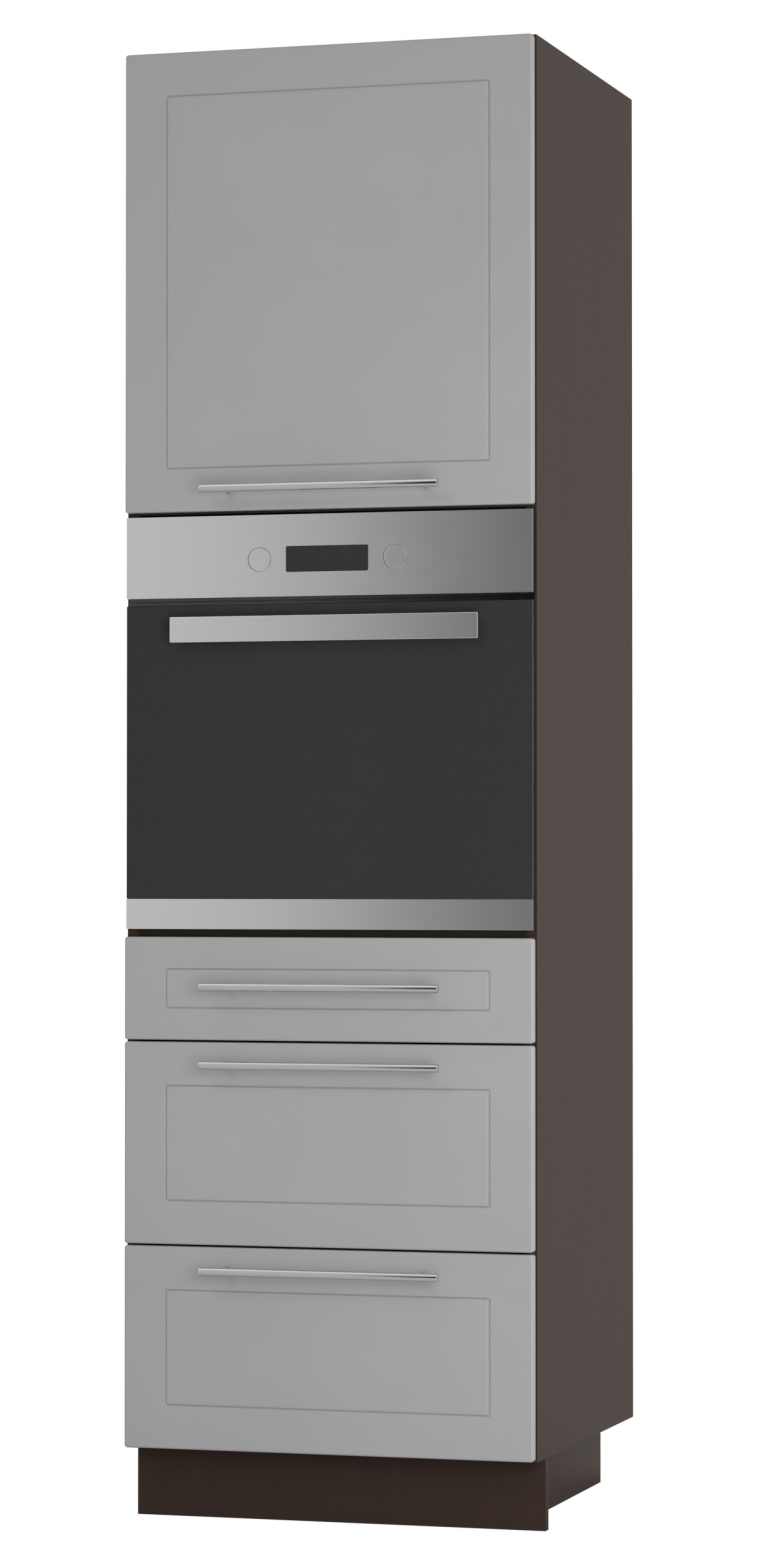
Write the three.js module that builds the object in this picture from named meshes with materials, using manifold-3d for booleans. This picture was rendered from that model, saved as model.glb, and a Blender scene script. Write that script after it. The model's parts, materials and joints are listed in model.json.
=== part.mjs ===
// Tall oven housing unit: a 600 mm carcase on a plinth, with a lift-up cupboard on gas struts above,
// a built-in oven in the middle and three metal-sided drawers below.
// Millimetres, +Z up, front towards -Y, origin under the middle of the unit on the floor.
import * as THREE from 'three';
import { mergeVertices } from 'three/addons/utils/BufferGeometryUtils.js';
import Module from 'manifold-3d';

const wasm = await Module();
wasm.setup();

// ---- driving dimensions: carcase ----
const UNIT_WIDTH = 600;
const CARCASE_DEPTH = 565;
const BOARD = 16;
const BACK_BOARD = 3;
const BACK_INSET = 3;
const PLINTH_HEIGHT = 100;
const DRAWER_SECTION = 720;
const NICHE_SECTION = 600;
const CUPBOARD_SECTION = 656;
const PLINTH_SETBACK = 45;
const PLINTH_SIDE_INSET = 51;
const VENT_GAP = 50;
const SHELF_SETBACK = 60;
const SHELF_REAR_GAP = 62;
const FIT = 0.3;

// ---- driving dimensions: fronts and bar handles ----
const FRONT_SIDE_GAP = 1.75;
const FRONT_THICKNESS = 16;
const FRONT_GAP = 2;
const FRONT_EDGE_RADIUS = 3;
const FRONT_CORNER_RADIUS = 4;
const FLAP_TOP_GAP = 1.5;
const FLAP_FLOOR_GAP = 2.9;
const SLIM_FRONT_HEIGHT = 145.2;
const DRAWER_COUNT = 3;
const DRAWER_GAP = 2.6;
const LOWEST_FRONT = 2.3;
const DRAWER_SHELF_OVERLAP = 3;
const GROOVE_INSET = 60;
const SLIM_GROOVE_INSET = 43.5;
const GROOVE_OUTER_SLOPE = 3.6;
const GROOVE_INNER_SLOPE = 2.6;
const GROOVE_DEPTH = 2;
const GROOVE_CORNER = 4;
const HANDLE_LENGTH = 347;
const HANDLE_RADIUS = 6;
const HANDLE_REACH = 44;
const HANDLE_CHAMFER = 1;
const POST_SPACING = 288;
const POST_RADIUS = 4.8;
const FLAP_HANDLE_RISE = 29;
const SLIM_HANDLE_DROP = 69.5;
const TALL_HANDLE_DROP = 31.2;

// ---- driving dimensions: flap hinges and gas struts ----
const CUP_RADIUS = 17.5;
const CUP_DEPTH = 11.5;
const CUP_FROM_TOP = 22.5;
const HINGE_FROM_SIDE = 110;
const STRUT_ANCHOR_BACK = 180;
const STRUT_ANCHOR_DROP = 86;
const STRUT_DOOR_BACK = 24;
const STRUT_DOOR_DROP = 46;
const STRUT_TUBE_RADIUS = 7.5;
const STRUT_ROD_RADIUS = 3;
const STRUT_TUBE_LENGTH = 118;
const STRUT_FROM_SIDE = 12;

// ---- driving dimensions: drawers ----
const RUNNER_REAR_GAP = 65;
const SLIM_SIDE_HEIGHT = 86;
const TALL_SIDE_HEIGHT = 150;
const DRAWER_FLOOR_RISE = 34;
const SHEET = 1.2;
const SIDE_CLEARANCE = 14;
const ROLLER_RADIUS = 9.5;
const ROLLER_INSET = 3;
const RUNNER_HEIGHT = 22;
const RUNNER_REACH = 7;
const RUNNER_SETBACK = 4;
const SIDE_PLAY = 0.5;
const RAIL_PLAY = 0.2;

// ---- driving dimensions: oven ----
const OVEN_SIDE_GAP = 2.5;
const OVEN_TOP_GAP = 3.6;
const OVEN_FRONT_REACH = 13.1;
const OVEN_SHELF_OVERLAP = 2.1;
const TRIM_HEIGHT = 42.6;
const TRIM_DEPTH = 10.5;
const AIR_GAP = 10;
const PANEL_HEIGHT = 115.4;
const OVEN_SHEET = 1.5;
const PANEL_DEPTH = 12.7;
const PANEL_LIP = 24;
const GLASS_THICKNESS = 4.5;
const DISPLAY_WIDTH = 120;
const DISPLAY_HEIGHT = 35.7;
const DISPLAY_THICKNESS = 4;
const CONTROL_HEIGHT = 52.5;
const KNOB_RADIUS = 16.8;
const KNOB_LENGTH = 26;
const KNOB_SPACING = 198.6;
const SPINDLE_RADIUS = 3;
const OVEN_HANDLE_LENGTH = 450;
const OVEN_HANDLE_HEIGHT = 36.1;
const OVEN_HANDLE_THICKNESS = 6;
const OVEN_HANDLE_REACH = 23;
const OVEN_HANDLE_DROP = 17.7;
const CASING_SIDE_GAP = 6;
const CASING_REAR_GAP = 32.7;
const CASING_TOP_DROP = 4;
const CAVITY_SIDE_SPACE = 43;
const CAVITY_REAR_SPACE = 127;
const CAVITY_ROOF_DROP = 46;
const CAVITY_RISE = 49;
const CAVITY_WALL = 2;
const RACK_LEVEL = 2;
const RACK_END_GAP = 35;
const FRAME_RECESS = 28;
const EAR_FROM_CASING = 26;
const EAR_THICKNESS = 4;
const EAR_HEIGHT = 5;
const EAR_NOSE_RADIUS = 2.6;
const PIVOT_BACK = 6.6;
const PIVOT_RISE = 4.6;

// ---- derived planes ----
const HALF_WIDTH = UNIT_WIDTH / 2;
const INNER_HALF = HALF_WIDTH - BOARD;
const FRONT_WIDTH = UNIT_WIDTH - 2 * FRONT_SIDE_GAP;
const DRAWER_LENGTH = CARCASE_DEPTH - RUNNER_REAR_GAP;
const TOTAL_DEPTH = HANDLE_REACH + FRONT_THICKNESS + FRONT_GAP + CARCASE_DEPTH;
const FACE_Y = HANDLE_REACH - TOTAL_DEPTH / 2;
const DOOR_BACK_Y = FACE_Y + FRONT_THICKNESS;
const CARCASE_Y = DOOR_BACK_Y + FRONT_GAP;
const REAR_Y = CARCASE_Y + CARCASE_DEPTH;
const BOARD_REAR_Y = REAR_Y - BACK_BOARD;
const OVEN_SHELF_Z = PLINTH_HEIGHT + DRAWER_SECTION;
const NICHE_BOTTOM_Z = OVEN_SHELF_Z + BOARD;
const CUPBOARD_FLOOR_Z = OVEN_SHELF_Z + NICHE_SECTION;
const TOP_Z = CUPBOARD_FLOOR_Z + CUPBOARD_SECTION;
const FLAP_TOP_Z = TOP_Z - FLAP_TOP_GAP;
const FLAP_BOTTOM_Z = CUPBOARD_FLOOR_Z + FLAP_FLOOR_GAP;
const FLAP_HEIGHT = FLAP_TOP_Z - FLAP_BOTTOM_Z;
const SHARED_FRONT_HEIGHT = DRAWER_SECTION + DRAWER_SHELF_OVERLAP - LOWEST_FRONT - SLIM_FRONT_HEIGHT;
const TALL_FRONT_HEIGHT = SHARED_FRONT_HEIGHT / (DRAWER_COUNT - 1) - DRAWER_GAP;
const OVEN_Y = CARCASE_Y - OVEN_FRONT_REACH;
const OVEN_BACK_Y = OVEN_Y + PANEL_DEPTH;
const OVEN_WIDTH = UNIT_WIDTH - 2 * OVEN_SIDE_GAP;
const OVEN_BOTTOM_Z = NICHE_BOTTOM_Z - OVEN_SHELF_OVERLAP;
const TRIM_TOP_Z = OVEN_BOTTOM_Z + TRIM_HEIGHT;
const PANEL_TOP_Z = CUPBOARD_FLOOR_Z - OVEN_TOP_GAP;
const PANEL_BOTTOM_Z = PANEL_TOP_Z - PANEL_HEIGHT;
const GLASS_TOP_Z = PANEL_BOTTOM_Z - AIR_GAP;
const GLASS_HEIGHT = GLASS_TOP_Z - TRIM_TOP_Z;
const CONTROL_Z = PANEL_BOTTOM_Z + CONTROL_HEIGHT;
const CASING_WIDTH = 2 * (INNER_HALF - CASING_SIDE_GAP);
const CASING_DEPTH = CARCASE_DEPTH - FIT - CASING_REAR_GAP;
const CASING_TOP_Z = PANEL_TOP_Z - CASING_TOP_DROP;
const CAVITY_WIDTH = CASING_WIDTH - 2 * CAVITY_SIDE_SPACE;
const CAVITY_FLOOR_Z = NICHE_BOTTOM_Z + CAVITY_RISE;
const CAVITY_HEIGHT = GLASS_TOP_Z - CAVITY_ROOF_DROP - CAVITY_FLOOR_Z;
const CAVITY_DEPTH = CASING_DEPTH - CAVITY_REAR_SPACE;
const FRAME_FRONT_Y = CARCASE_Y + FRAME_RECESS;
const HINGE_EAR_X = CASING_WIDTH / 2 - EAR_FROM_CASING;
const PIVOT_Y = OVEN_Y + PIVOT_BACK;
const PIVOT_Z = OVEN_BOTTOM_Z + PIVOT_RISE;

// ---- materials ----
function finish(color, roughness, metalness) {
  return () => new THREE.MeshStandardMaterial({ color, roughness, metalness });
}

const brownBoard = finish(0x4f4641, 0.7, 0);
const greyFront = finish(0xa0a0a0, 0.45, 0);
const polishedBar = finish(0xd2d2d2, 0.18, 1);
const greySheet = finish(0xa8abad, 0.45, 0.8);
const whiteBoard = finish(0xd9d7d2, 0.7, 0);
const brushedSteel = finish(0xaaaaa8, 0.35, 0.9);
const blackGlass = finish(0x2f2f2f, 0.12, 0);
const blackEnamel = finish(0x26282b, 0.35, 0.2);
const zincSheet = finish(0x9b9ea0, 0.5, 0.8);

// ---- geometry helpers ----
const unit = new THREE.Group();

function addPiece(name, geometry, material) {
  const mesh = new THREE.Mesh(geometry, material());
  mesh.name = name;
  unit.add(mesh);
}

// A box between two corners; every vertex takes the corner value itself, so neighbours share exact planes.
function block(low, high) {
  const geometry = new THREE.BoxGeometry(2, 2, 2);
  const position = geometry.attributes.position;
  for (let i = 0; i < position.count; i += 1) {
    const x = position.getX(i) < 0 ? low[0] : high[0];
    const y = position.getY(i) < 0 ? low[1] : high[1];
    const z = position.getZ(i) < 0 ? low[2] : high[2];
    position.setXYZ(i, x, y, z);
  }
  return geometry;
}

function toSolid(geometry) {
  const bare = geometry.clone();
  bare.deleteAttribute('normal');
  bare.deleteAttribute('uv');
  const merged = mergeVertices(bare, 1e-4);
  const vertProperties = new Float32Array(merged.attributes.position.array);
  const triVerts = new Uint32Array(merged.index.array);
  return new wasm.Manifold(new wasm.Mesh({ numProp: 3, vertProperties, triVerts }));
}

function toGeometry(solid) {
  const mesh = solid.getMesh();
  const geometry = new THREE.BufferGeometry();
  geometry.setAttribute('position', new THREE.BufferAttribute(mesh.vertProperties, 3));
  geometry.setIndex(new THREE.BufferAttribute(mesh.triVerts, 1));
  geometry.computeVertexNormals();
  return geometry;
}

function join(...geometries) {
  return geometries.map(toSolid).reduce((sum, next) => sum.add(next));
}

function cut(solid, ...geometries) {
  return geometries.map(toSolid).reduce((rest, next) => rest.subtract(next), solid);
}

// Round bars along one axis, from a start point.
function barX(radius, x0, x1, y, z, sides = 20) {
  const geometry = new THREE.CylinderGeometry(radius, radius, x1 - x0, sides);
  geometry.rotateZ(-Math.PI / 2);
  return geometry.translate((x0 + x1) / 2, y, z);
}

function barY(radius, x, y0, y1, z, sides = 20) {
  const geometry = new THREE.CylinderGeometry(radius, radius, y1 - y0, sides);
  return geometry.translate(x, (y0 + y1) / 2, z);
}

// A revolved profile of [radius, distance] pairs, turned about an axis along +Y from a start point.
function turnedY(profile, x, y, z, sides = 24) {
  const points = profile.map(([radius, along]) => new THREE.Vector2(radius, along));
  return new THREE.LatheGeometry(points, sides).translate(x, y, z);
}

// One loop of a rounded rectangle in the XZ plane.
function roundedLoop(halfWidth, halfHeight, radius, y, centreZ, cornerSteps = 4) {
  const corners = [[1, 1, 0], [-1, 1, 1], [-1, -1, 2], [1, -1, 3]];
  const points = [];
  for (const [signX, signZ, quarter] of corners) {
    for (let step = 0; step <= cornerSteps; step += 1) {
      const angle = (quarter + step / cornerSteps) * Math.PI / 2;
      const x = signX * (halfWidth - radius) + radius * Math.cos(angle);
      const z = centreZ + signZ * (halfHeight - radius) + radius * Math.sin(angle);
      points.push([x, y, z]);
    }
  }
  return points;
}

// A closed skin through nested loops of equal point count, with a flat cap on the first and last.
function loft(loops) {
  const count = loops[0].length;
  const index = [];
  for (let row = 0; row + 1 < loops.length; row += 1) {
    for (let i = 0; i < count; i += 1) {
      const next = (i + 1) % count;
      const a = row * count + i;
      const b = row * count + next;
      index.push(a, b, b + count, a, b + count, a + count);
    }
  }
  const last = (loops.length - 1) * count;
  for (let i = 1; i + 1 < count; i += 1) {
    index.push(0, i + 1, i);
    index.push(last, last + i, last + i + 1);
  }
  const geometry = new THREE.BufferGeometry();
  geometry.setAttribute('position', new THREE.Float32BufferAttribute(loops.flat(2), 3));
  geometry.setIndex(index);
  geometry.computeVertexNormals();
  return geometry;
}

// A section drawn in the XZ plane and run straight from y0 to y1.
function runAlongY(shape, y0, y1) {
  const geometry = new THREE.ExtrudeGeometry(shape, { depth: y1 - y0, bevelEnabled: false, curveSegments: 6 });
  geometry.rotateX(Math.PI / 2);
  return geometry.translate(0, y1, 0);
}

// The outline of a folded sheet: a path of [x, z] corners, thickened to its left.
function foldedSheet(path, thickness) {
  const normals = path.slice(1).map(([x, z], i) => {
    const length = Math.hypot(x - path[i][0], z - path[i][1]);
    return [-(z - path[i][1]) / length, (x - path[i][0]) / length];
  });
  const offset = path.map(([x, z], i) => {
    const before = normals[Math.max(i - 1, 0)];
    const after = normals[Math.min(i, normals.length - 1)];
    const scale = thickness / (1 + before[0] * after[0] + before[1] * after[1]);
    return [x + (before[0] + after[0]) * scale, z + (before[1] + after[1]) * scale];
  });
  const outline = [...path, ...offset.reverse()];
  return new THREE.Shape(outline.map(([x, z]) => new THREE.Vector2(x, z)));
}

// A left-hand piece mirrored into its right-hand twin, with its faces turned out again.
function mirrored(geometry) {
  const twin = (geometry.index ? geometry.clone() : mergeVertices(geometry)).scale(-1, 1, 1);
  const index = twin.index.array;
  for (let i = 0; i < index.length; i += 3) {
    [index[i], index[i + 1]] = [index[i + 1], index[i]];
  }
  twin.computeVertexNormals();
  return twin;
}

// ---- carcase ----
function addCarcase() {
  const innerFront = [-INNER_HALF, CARCASE_Y];
  addPiece('side_panel_left', block([-HALF_WIDTH, CARCASE_Y, PLINTH_HEIGHT],
    [-INNER_HALF, BOARD_REAR_Y, TOP_Z]), brownBoard);
  addPiece('side_panel_right', block([INNER_HALF, CARCASE_Y, PLINTH_HEIGHT],
    [HALF_WIDTH, BOARD_REAR_Y, TOP_Z]), brownBoard);
  const boards = {
    bottom_panel: [PLINTH_HEIGHT, BOARD_REAR_Y],
    oven_shelf: [OVEN_SHELF_Z, BOARD_REAR_Y - VENT_GAP],
    cupboard_floor: [CUPBOARD_FLOOR_Z, BOARD_REAR_Y],
    top_panel: [TOP_Z - BOARD, BOARD_REAR_Y],
  };
  for (const [name, [z, rear]] of Object.entries(boards)) {
    addPiece(name, block([...innerFront, z], [INNER_HALF, rear, z + BOARD]), brownBoard);
  }
  const shelfZ = (CUPBOARD_FLOOR_Z + TOP_Z - BOARD) / 2;
  const shelfFront = CARCASE_Y + SHELF_SETBACK;
  addPiece('cupboard_shelf', block([-INNER_HALF + FIT, shelfFront, shelfZ],
    [INNER_HALF - FIT, BOARD_REAR_Y - SHELF_REAR_GAP, shelfZ + BOARD]), brownBoard);
}

function addBackPanels() {
  const halfWidth = HALF_WIDTH - BACK_INSET;
  addPiece('back_panel_upper', block([-halfWidth, BOARD_REAR_Y, CUPBOARD_FLOOR_Z + BACK_INSET],
    [halfWidth, REAR_Y, TOP_Z - BACK_INSET]), brownBoard);
  addPiece('back_panel_lower', block([-halfWidth, BOARD_REAR_Y, PLINTH_HEIGHT + BACK_INSET],
    [halfWidth, REAR_Y, OVEN_SHELF_Z - VENT_GAP]), brownBoard);
}

function addPlinth() {
  const boardFront = CARCASE_Y + PLINTH_SETBACK;
  const boardRear = boardFront + BOARD;
  const outer = HALF_WIDTH - PLINTH_SIDE_INSET;
  addPiece('plinth_front', block([-HALF_WIDTH, boardFront, 0], [HALF_WIDTH, boardRear, PLINTH_HEIGHT]), brownBoard);
  addPiece('plinth_side_left', block([-outer, boardRear, 0], [-outer + BOARD, REAR_Y, PLINTH_HEIGHT]), brownBoard);
  addPiece('plinth_side_right', block([outer - BOARD, boardRear, 0], [outer, REAR_Y, PLINTH_HEIGHT]), brownBoard);
}

// ---- fronts and bar handles ----
// One skin runs from the back face round the eased edge, over the face, down into the routed groove and
// across the centre field.
function framedFront(height, bottomZ, grooveInsetZ) {
  const halfWidth = FRONT_WIDTH / 2;
  const halfHeight = height / 2;
  const centreZ = bottomZ + halfHeight;
  const loops = [];
  const addLoop = (insetX, insetZ, radius, depth) => {
    loops.push(roundedLoop(halfWidth - insetX, halfHeight - insetZ, radius, FACE_Y + depth, centreZ));
  };
  addLoop(0, 0, FRONT_CORNER_RADIUS, FRONT_THICKNESS);
  const easeSteps = 4;
  for (let step = 0; step <= easeSteps; step += 1) {
    const angle = step / easeSteps * Math.PI / 2;
    const inset = FRONT_EDGE_RADIUS * (1 - Math.cos(angle));
    addLoop(inset, inset, FRONT_CORNER_RADIUS, FRONT_EDGE_RADIUS * (1 - Math.sin(angle)));
  }
  const grooveSteps = [[0, 0], [0.35, 0.7], [1, 1], [1 + GROOVE_INNER_SLOPE / GROOVE_OUTER_SLOPE, 0]];
  for (const [across, down] of grooveSteps) {
    const step = across * GROOVE_OUTER_SLOPE;
    addLoop(GROOVE_INSET + step, grooveInsetZ + step, GROOVE_CORNER, down * GROOVE_DEPTH);
  }
  return loft(loops);
}

function barHandle(centreZ) {
  const barY0 = FACE_Y - HANDLE_REACH + HANDLE_RADIUS;
  const half = HANDLE_LENGTH / 2;
  const profile = [[0, -half], [HANDLE_RADIUS - HANDLE_CHAMFER, -half], [HANDLE_RADIUS, HANDLE_CHAMFER - half],
    [HANDLE_RADIUS, half - HANDLE_CHAMFER], [HANDLE_RADIUS - HANDLE_CHAMFER, half], [0, half]];
  const bar = turnedY(profile, 0, 0, 0).rotateZ(-Math.PI / 2).translate(0, barY0, centreZ);
  const posts = [-1, 1].map((side) => barY(POST_RADIUS, side * POST_SPACING / 2, barY0, FACE_Y - FIT / 3, centreZ));
  return toGeometry(join(bar, ...posts));
}

// ---- flap: door, handle, concealed hinges and gas struts ----
function addFlapDoor() {
  const cupZ = FLAP_TOP_Z - CUP_FROM_TOP;
  const hingeX = INNER_HALF - HINGE_FROM_SIDE;
  const cupBores = [-1, 1].map((side) => barY(CUP_RADIUS + FIT, side * hingeX,
    DOOR_BACK_Y - CUP_DEPTH - FIT, DOOR_BACK_Y + FIT, cupZ, 28));
  const door = join(framedFront(FLAP_HEIGHT, FLAP_BOTTOM_Z, GROOVE_INSET));
  addPiece('flap_door', toGeometry(cut(door, ...cupBores)), greyFront);
  addPiece('flap_handle', barHandle(FLAP_BOTTOM_Z + FLAP_HANDLE_RISE), polishedBar);
}

function hingeCup(x) {
  const wall = 1;
  const flangeReach = 1.2;
  const profile = [[0, 0], [CUP_RADIUS, 0], [CUP_RADIUS, CUP_DEPTH + FIT + flangeReach],
    [CUP_RADIUS - wall, CUP_DEPTH + FIT + flangeReach], [CUP_RADIUS - wall, wall], [0, wall]];
  const cupY = DOOR_BACK_Y - CUP_DEPTH;
  const cupZ = FLAP_TOP_Z - CUP_FROM_TOP;
  const cup = turnedY(profile, x, cupY, cupZ, 28);
  const flangeHalfWidth = 26;
  const flangeHalfHeight = 8;
  const flangeCorner = 5;
  const flange = loft([flangeReach, 0].map((lift) => roundedLoop(flangeHalfWidth, flangeHalfHeight,
    flangeCorner, DOOR_BACK_Y + FIT + lift, 0))).translate(x, 0, cupZ);
  const mouth = barY(CUP_RADIUS - wall, x, cupY + wall, DOOR_BACK_Y + CUP_DEPTH, cupZ, 28);
  return toGeometry(cut(join(cup, flange), mouth));
}

// The arm hangs under the top panel on its mounting plate, with a sloping nose that reaches the cup.
function hingeArm(x) {
  const plateHalf = 24;
  const plateThickness = 2;
  const plateFront = CARCASE_Y + 22;
  const plateRear = plateFront + 36;
  const armHalf = 6.5;
  const ceiling = TOP_Z - BOARD;
  const plate = block([x - plateHalf, plateFront, ceiling - plateThickness], [x + plateHalf, plateRear, ceiling]);
  const nose = CARCASE_Y + 1;
  const plateBack = plateFront - nose;
  const tail = plateRear + 8 - nose;
  // The arm's side view, in distance behind the nose and depth below the top panel.
  const sideView = [[0, 13], [12, 15], [tail, 12], [tail, 3], [plateBack, 1], [8, 4], [0, 8]];
  const shape = new THREE.Shape(sideView.map(([back, drop]) => new THREE.Vector2(nose + back, ceiling - drop)));
  const arm = new THREE.ExtrudeGeometry(shape, { depth: armHalf * 2, bevelEnabled: false });
  arm.rotateY(Math.PI / 2);
  arm.rotateX(Math.PI / 2);
  return toGeometry(join(plate, arm.translate(x - armHalf, 0, 0)));
}

function addFlapHinges() {
  const hingeX = INNER_HALF - HINGE_FROM_SIDE;
  for (const [suffix, side] of [['left', -1], ['right', 1]]) {
    addPiece(`flap_hinge_cup_${suffix}`, hingeCup(side * hingeX), zincSheet);
    addPiece(`flap_hinge_arm_${suffix}`, hingeArm(side * hingeX), zincSheet);
  }
}

// Both strut pieces are turned about the strut's own axis, from its carcase anchor towards the flap.
function strutPieces() {
  const anchor = new THREE.Vector2(FACE_Y + STRUT_ANCHOR_BACK, TOP_Z - STRUT_ANCHOR_DROP);
  const doorEnd = new THREE.Vector2(FACE_Y + STRUT_DOOR_BACK, TOP_Z - STRUT_DOOR_DROP);
  const reach = anchor.distanceTo(doorEnd);
  const angle = Math.atan2(doorEnd.y - anchor.y, doorEnd.x - anchor.x);
  const place = (geometry) => geometry.rotateX(angle).translate(0, anchor.x, anchor.y);
  const bossRadius = 7;
  const eyeRadius = 4.5;
  const bore = STRUT_ROD_RADIUS + FIT;
  const tubeStart = 4;
  const boreStart = 10;
  const rimChamfer = 1.5;
  const tubeProfile = [[0, tubeStart], [STRUT_TUBE_RADIUS, tubeStart],
    [STRUT_TUBE_RADIUS, STRUT_TUBE_LENGTH - rimChamfer], [STRUT_TUBE_RADIUS - rimChamfer, STRUT_TUBE_LENGTH],
    [bore, STRUT_TUBE_LENGTH], [bore, boreStart], [0, boreStart]];
  const tube = turnedY(tubeProfile, 0, 0, 0);
  const anchorBoss = barX(bossRadius, -STRUT_FROM_SIDE + FIT, STRUT_TUBE_RADIUS - 1, 0, 0);
  const boreCut = barY(bore, 0, boreStart, STRUT_TUBE_LENGTH + 1, 0);
  const tubeGeometry = toGeometry(cut(join(tube, anchorBoss), boreCut));
  const rodStart = 18;
  const rod = barY(STRUT_ROD_RADIUS, 0, rodStart, reach, 0, 16);
  const eye = barX(eyeRadius, -STRUT_TUBE_RADIUS + 1, STRUT_TUBE_RADIUS - 1, reach, 0);
  const neckRadius = 4.2;
  const neckLength = 18;
  const neck = barY(neckRadius, 0, reach - neckLength, reach, 0, 24);
  const rodGeometry = toGeometry(join(rod, eye, neck));
  return [place(tubeGeometry), place(rodGeometry)];
}

function addStruts() {
  const [tube, rod] = strutPieces();
  const strutX = -INNER_HALF + STRUT_FROM_SIDE;
  const leftTube = tube.translate(strutX, 0, 0);
  const leftRod = rod.translate(strutX, 0, 0);
  addPiece('strut_tube_left', leftTube, blackEnamel);
  addPiece('strut_rod_left', leftRod, polishedBar);
  addPiece('strut_tube_right', mirrored(leftTube), blackEnamel);
  addPiece('strut_rod_right', mirrored(leftRod), polishedBar);
}

// ---- drawers ----
// Sections are drawn for the left side: x runs in from the carcase side, z up from the drawer floor.
function drawerSide(sideHeight, floorZ) {
  const rearY = DOOR_BACK_Y + DRAWER_LENGTH;
  const frontY = DOOR_BACK_Y + FIT;
  const wallX = SIDE_CLEARANCE;
  const railX = RUNNER_REACH + SIDE_PLAY;
  const railZ = RUNNER_HEIGHT - RAIL_PLAY;
  const railLip = 5;
  const railStart = frontY + 20;
  const hem = 10;
  const foldX = wallX - 8;
  const wallPath = [[wallX + hem, -SHEET], [wallX, -SHEET], [wallX, sideHeight], [foldX, sideHeight],
    [foldX, sideHeight - hem]];
  const railPath = [[railX, railZ - railLip], [railX, railZ + SHEET], [wallX + SHEET / 2, railZ + SHEET]];
  const wall = runAlongY(foldedSheet(wallPath, -SHEET), frontY, rearY);
  const rail = runAlongY(foldedSheet(railPath, -SHEET), railStart, rearY);
  const rollerY = rearY - ROLLER_RADIUS - ROLLER_INSET;
  const rollerZ = SHEET + FIT + ROLLER_RADIUS;
  const rollerFace = RUNNER_REACH - SIDE_PLAY;
  const roller = barX(ROLLER_RADIUS, SHEET + FIT, rollerFace, rollerY, rollerZ);
  const axleRadius = 3;
  const axle = barX(axleRadius, rollerFace - SIDE_PLAY, wallX + SHEET / 2, rollerY, rollerZ, 12);
  return toGeometry(join(wall, rail, roller, axle)).translate(-INNER_HALF, 0, floorZ);
}

function drawerRunner(floorZ) {
  const frontY = CARCASE_Y + RUNNER_SETBACK;
  const rearY = frontY + DRAWER_LENGTH;
  const path = [[RUNNER_REACH, 0], [0, 0], [0, RUNNER_HEIGHT], [RUNNER_REACH, RUNNER_HEIGHT]];
  const channel = runAlongY(foldedSheet(path, -SHEET), frontY, rearY);
  const rollerX = RUNNER_REACH + 2.2;
  const rollerZ = RUNNER_HEIGHT - RAIL_PLAY - FIT - ROLLER_RADIUS;
  const rollerY = frontY + ROLLER_RADIUS + ROLLER_INSET;
  const roller = barX(ROLLER_RADIUS, rollerX, SIDE_CLEARANCE - 2 * SIDE_PLAY, rollerY, rollerZ);
  const axleRadius = 2;
  const axle = barX(axleRadius, SHEET / 2, rollerX + 1, rollerY, rollerZ, 12);
  return toGeometry(join(channel, roller, axle)).translate(-INNER_HALF, 0, floorZ);
}

function addDrawer(number, frontZ) {
  const name = `drawer_${number}`;
  const slim = number === 1;
  const height = slim ? SLIM_FRONT_HEIGHT : TALL_FRONT_HEIGHT;
  const sideHeight = slim ? SLIM_SIDE_HEIGHT : TALL_SIDE_HEIGHT;
  const floorZ = frontZ + DRAWER_FLOOR_RISE;
  const handleDrop = slim ? SLIM_HANDLE_DROP : TALL_HANDLE_DROP;
  addPiece(`${name}_front`, framedFront(height, frontZ, slim ? SLIM_GROOVE_INSET : GROOVE_INSET), greyFront);
  addPiece(`${name}_handle`, barHandle(frontZ + height - handleDrop), polishedBar);
  const side = drawerSide(sideHeight, floorZ);
  const runner = drawerRunner(floorZ);
  addPiece(`${name}_side_left`, side, greySheet);
  addPiece(`${name}_side_right`, mirrored(side), greySheet);
  addPiece(`${name}_runner_left`, runner, greySheet);
  addPiece(`${name}_runner_right`, mirrored(runner), greySheet);
  const halfInside = INNER_HALF - SIDE_CLEARANCE - SHEET - FIT;
  const rearY = DOOR_BACK_Y + DRAWER_LENGTH;
  addPiece(`${name}_bottom`, block([-halfInside, DOOR_BACK_Y + FIT, floorZ + FIT],
    [halfInside, rearY, floorZ + BOARD]), whiteBoard);
  addPiece(`${name}_back`, block([-halfInside, rearY - BOARD, floorZ + BOARD + FIT],
    [halfInside, rearY, floorZ + sideHeight - SHEET]), whiteBoard);
}

function addDrawers() {
  for (let row = DRAWER_COUNT; row > 0; row -= 1) {
    const below = (DRAWER_COUNT - row) * (TALL_FRONT_HEIGHT + DRAWER_GAP);
    addDrawer(row, PLINTH_HEIGHT + LOWEST_FRONT + below);
  }
}

// ---- oven ----
// A pressed sheet tray, open at the back.
function sheetTray(halfWidth, depth, bottomZ, topZ) {
  const outer = block([-halfWidth, OVEN_Y, bottomZ], [halfWidth, OVEN_Y + depth, topZ]);
  const hollow = block([-halfWidth + OVEN_SHEET, OVEN_Y + OVEN_SHEET, bottomZ + OVEN_SHEET],
    [halfWidth - OVEN_SHEET, OVEN_Y + depth + 1, topZ - OVEN_SHEET]);
  return cut(join(outer), hollow);
}

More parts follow.
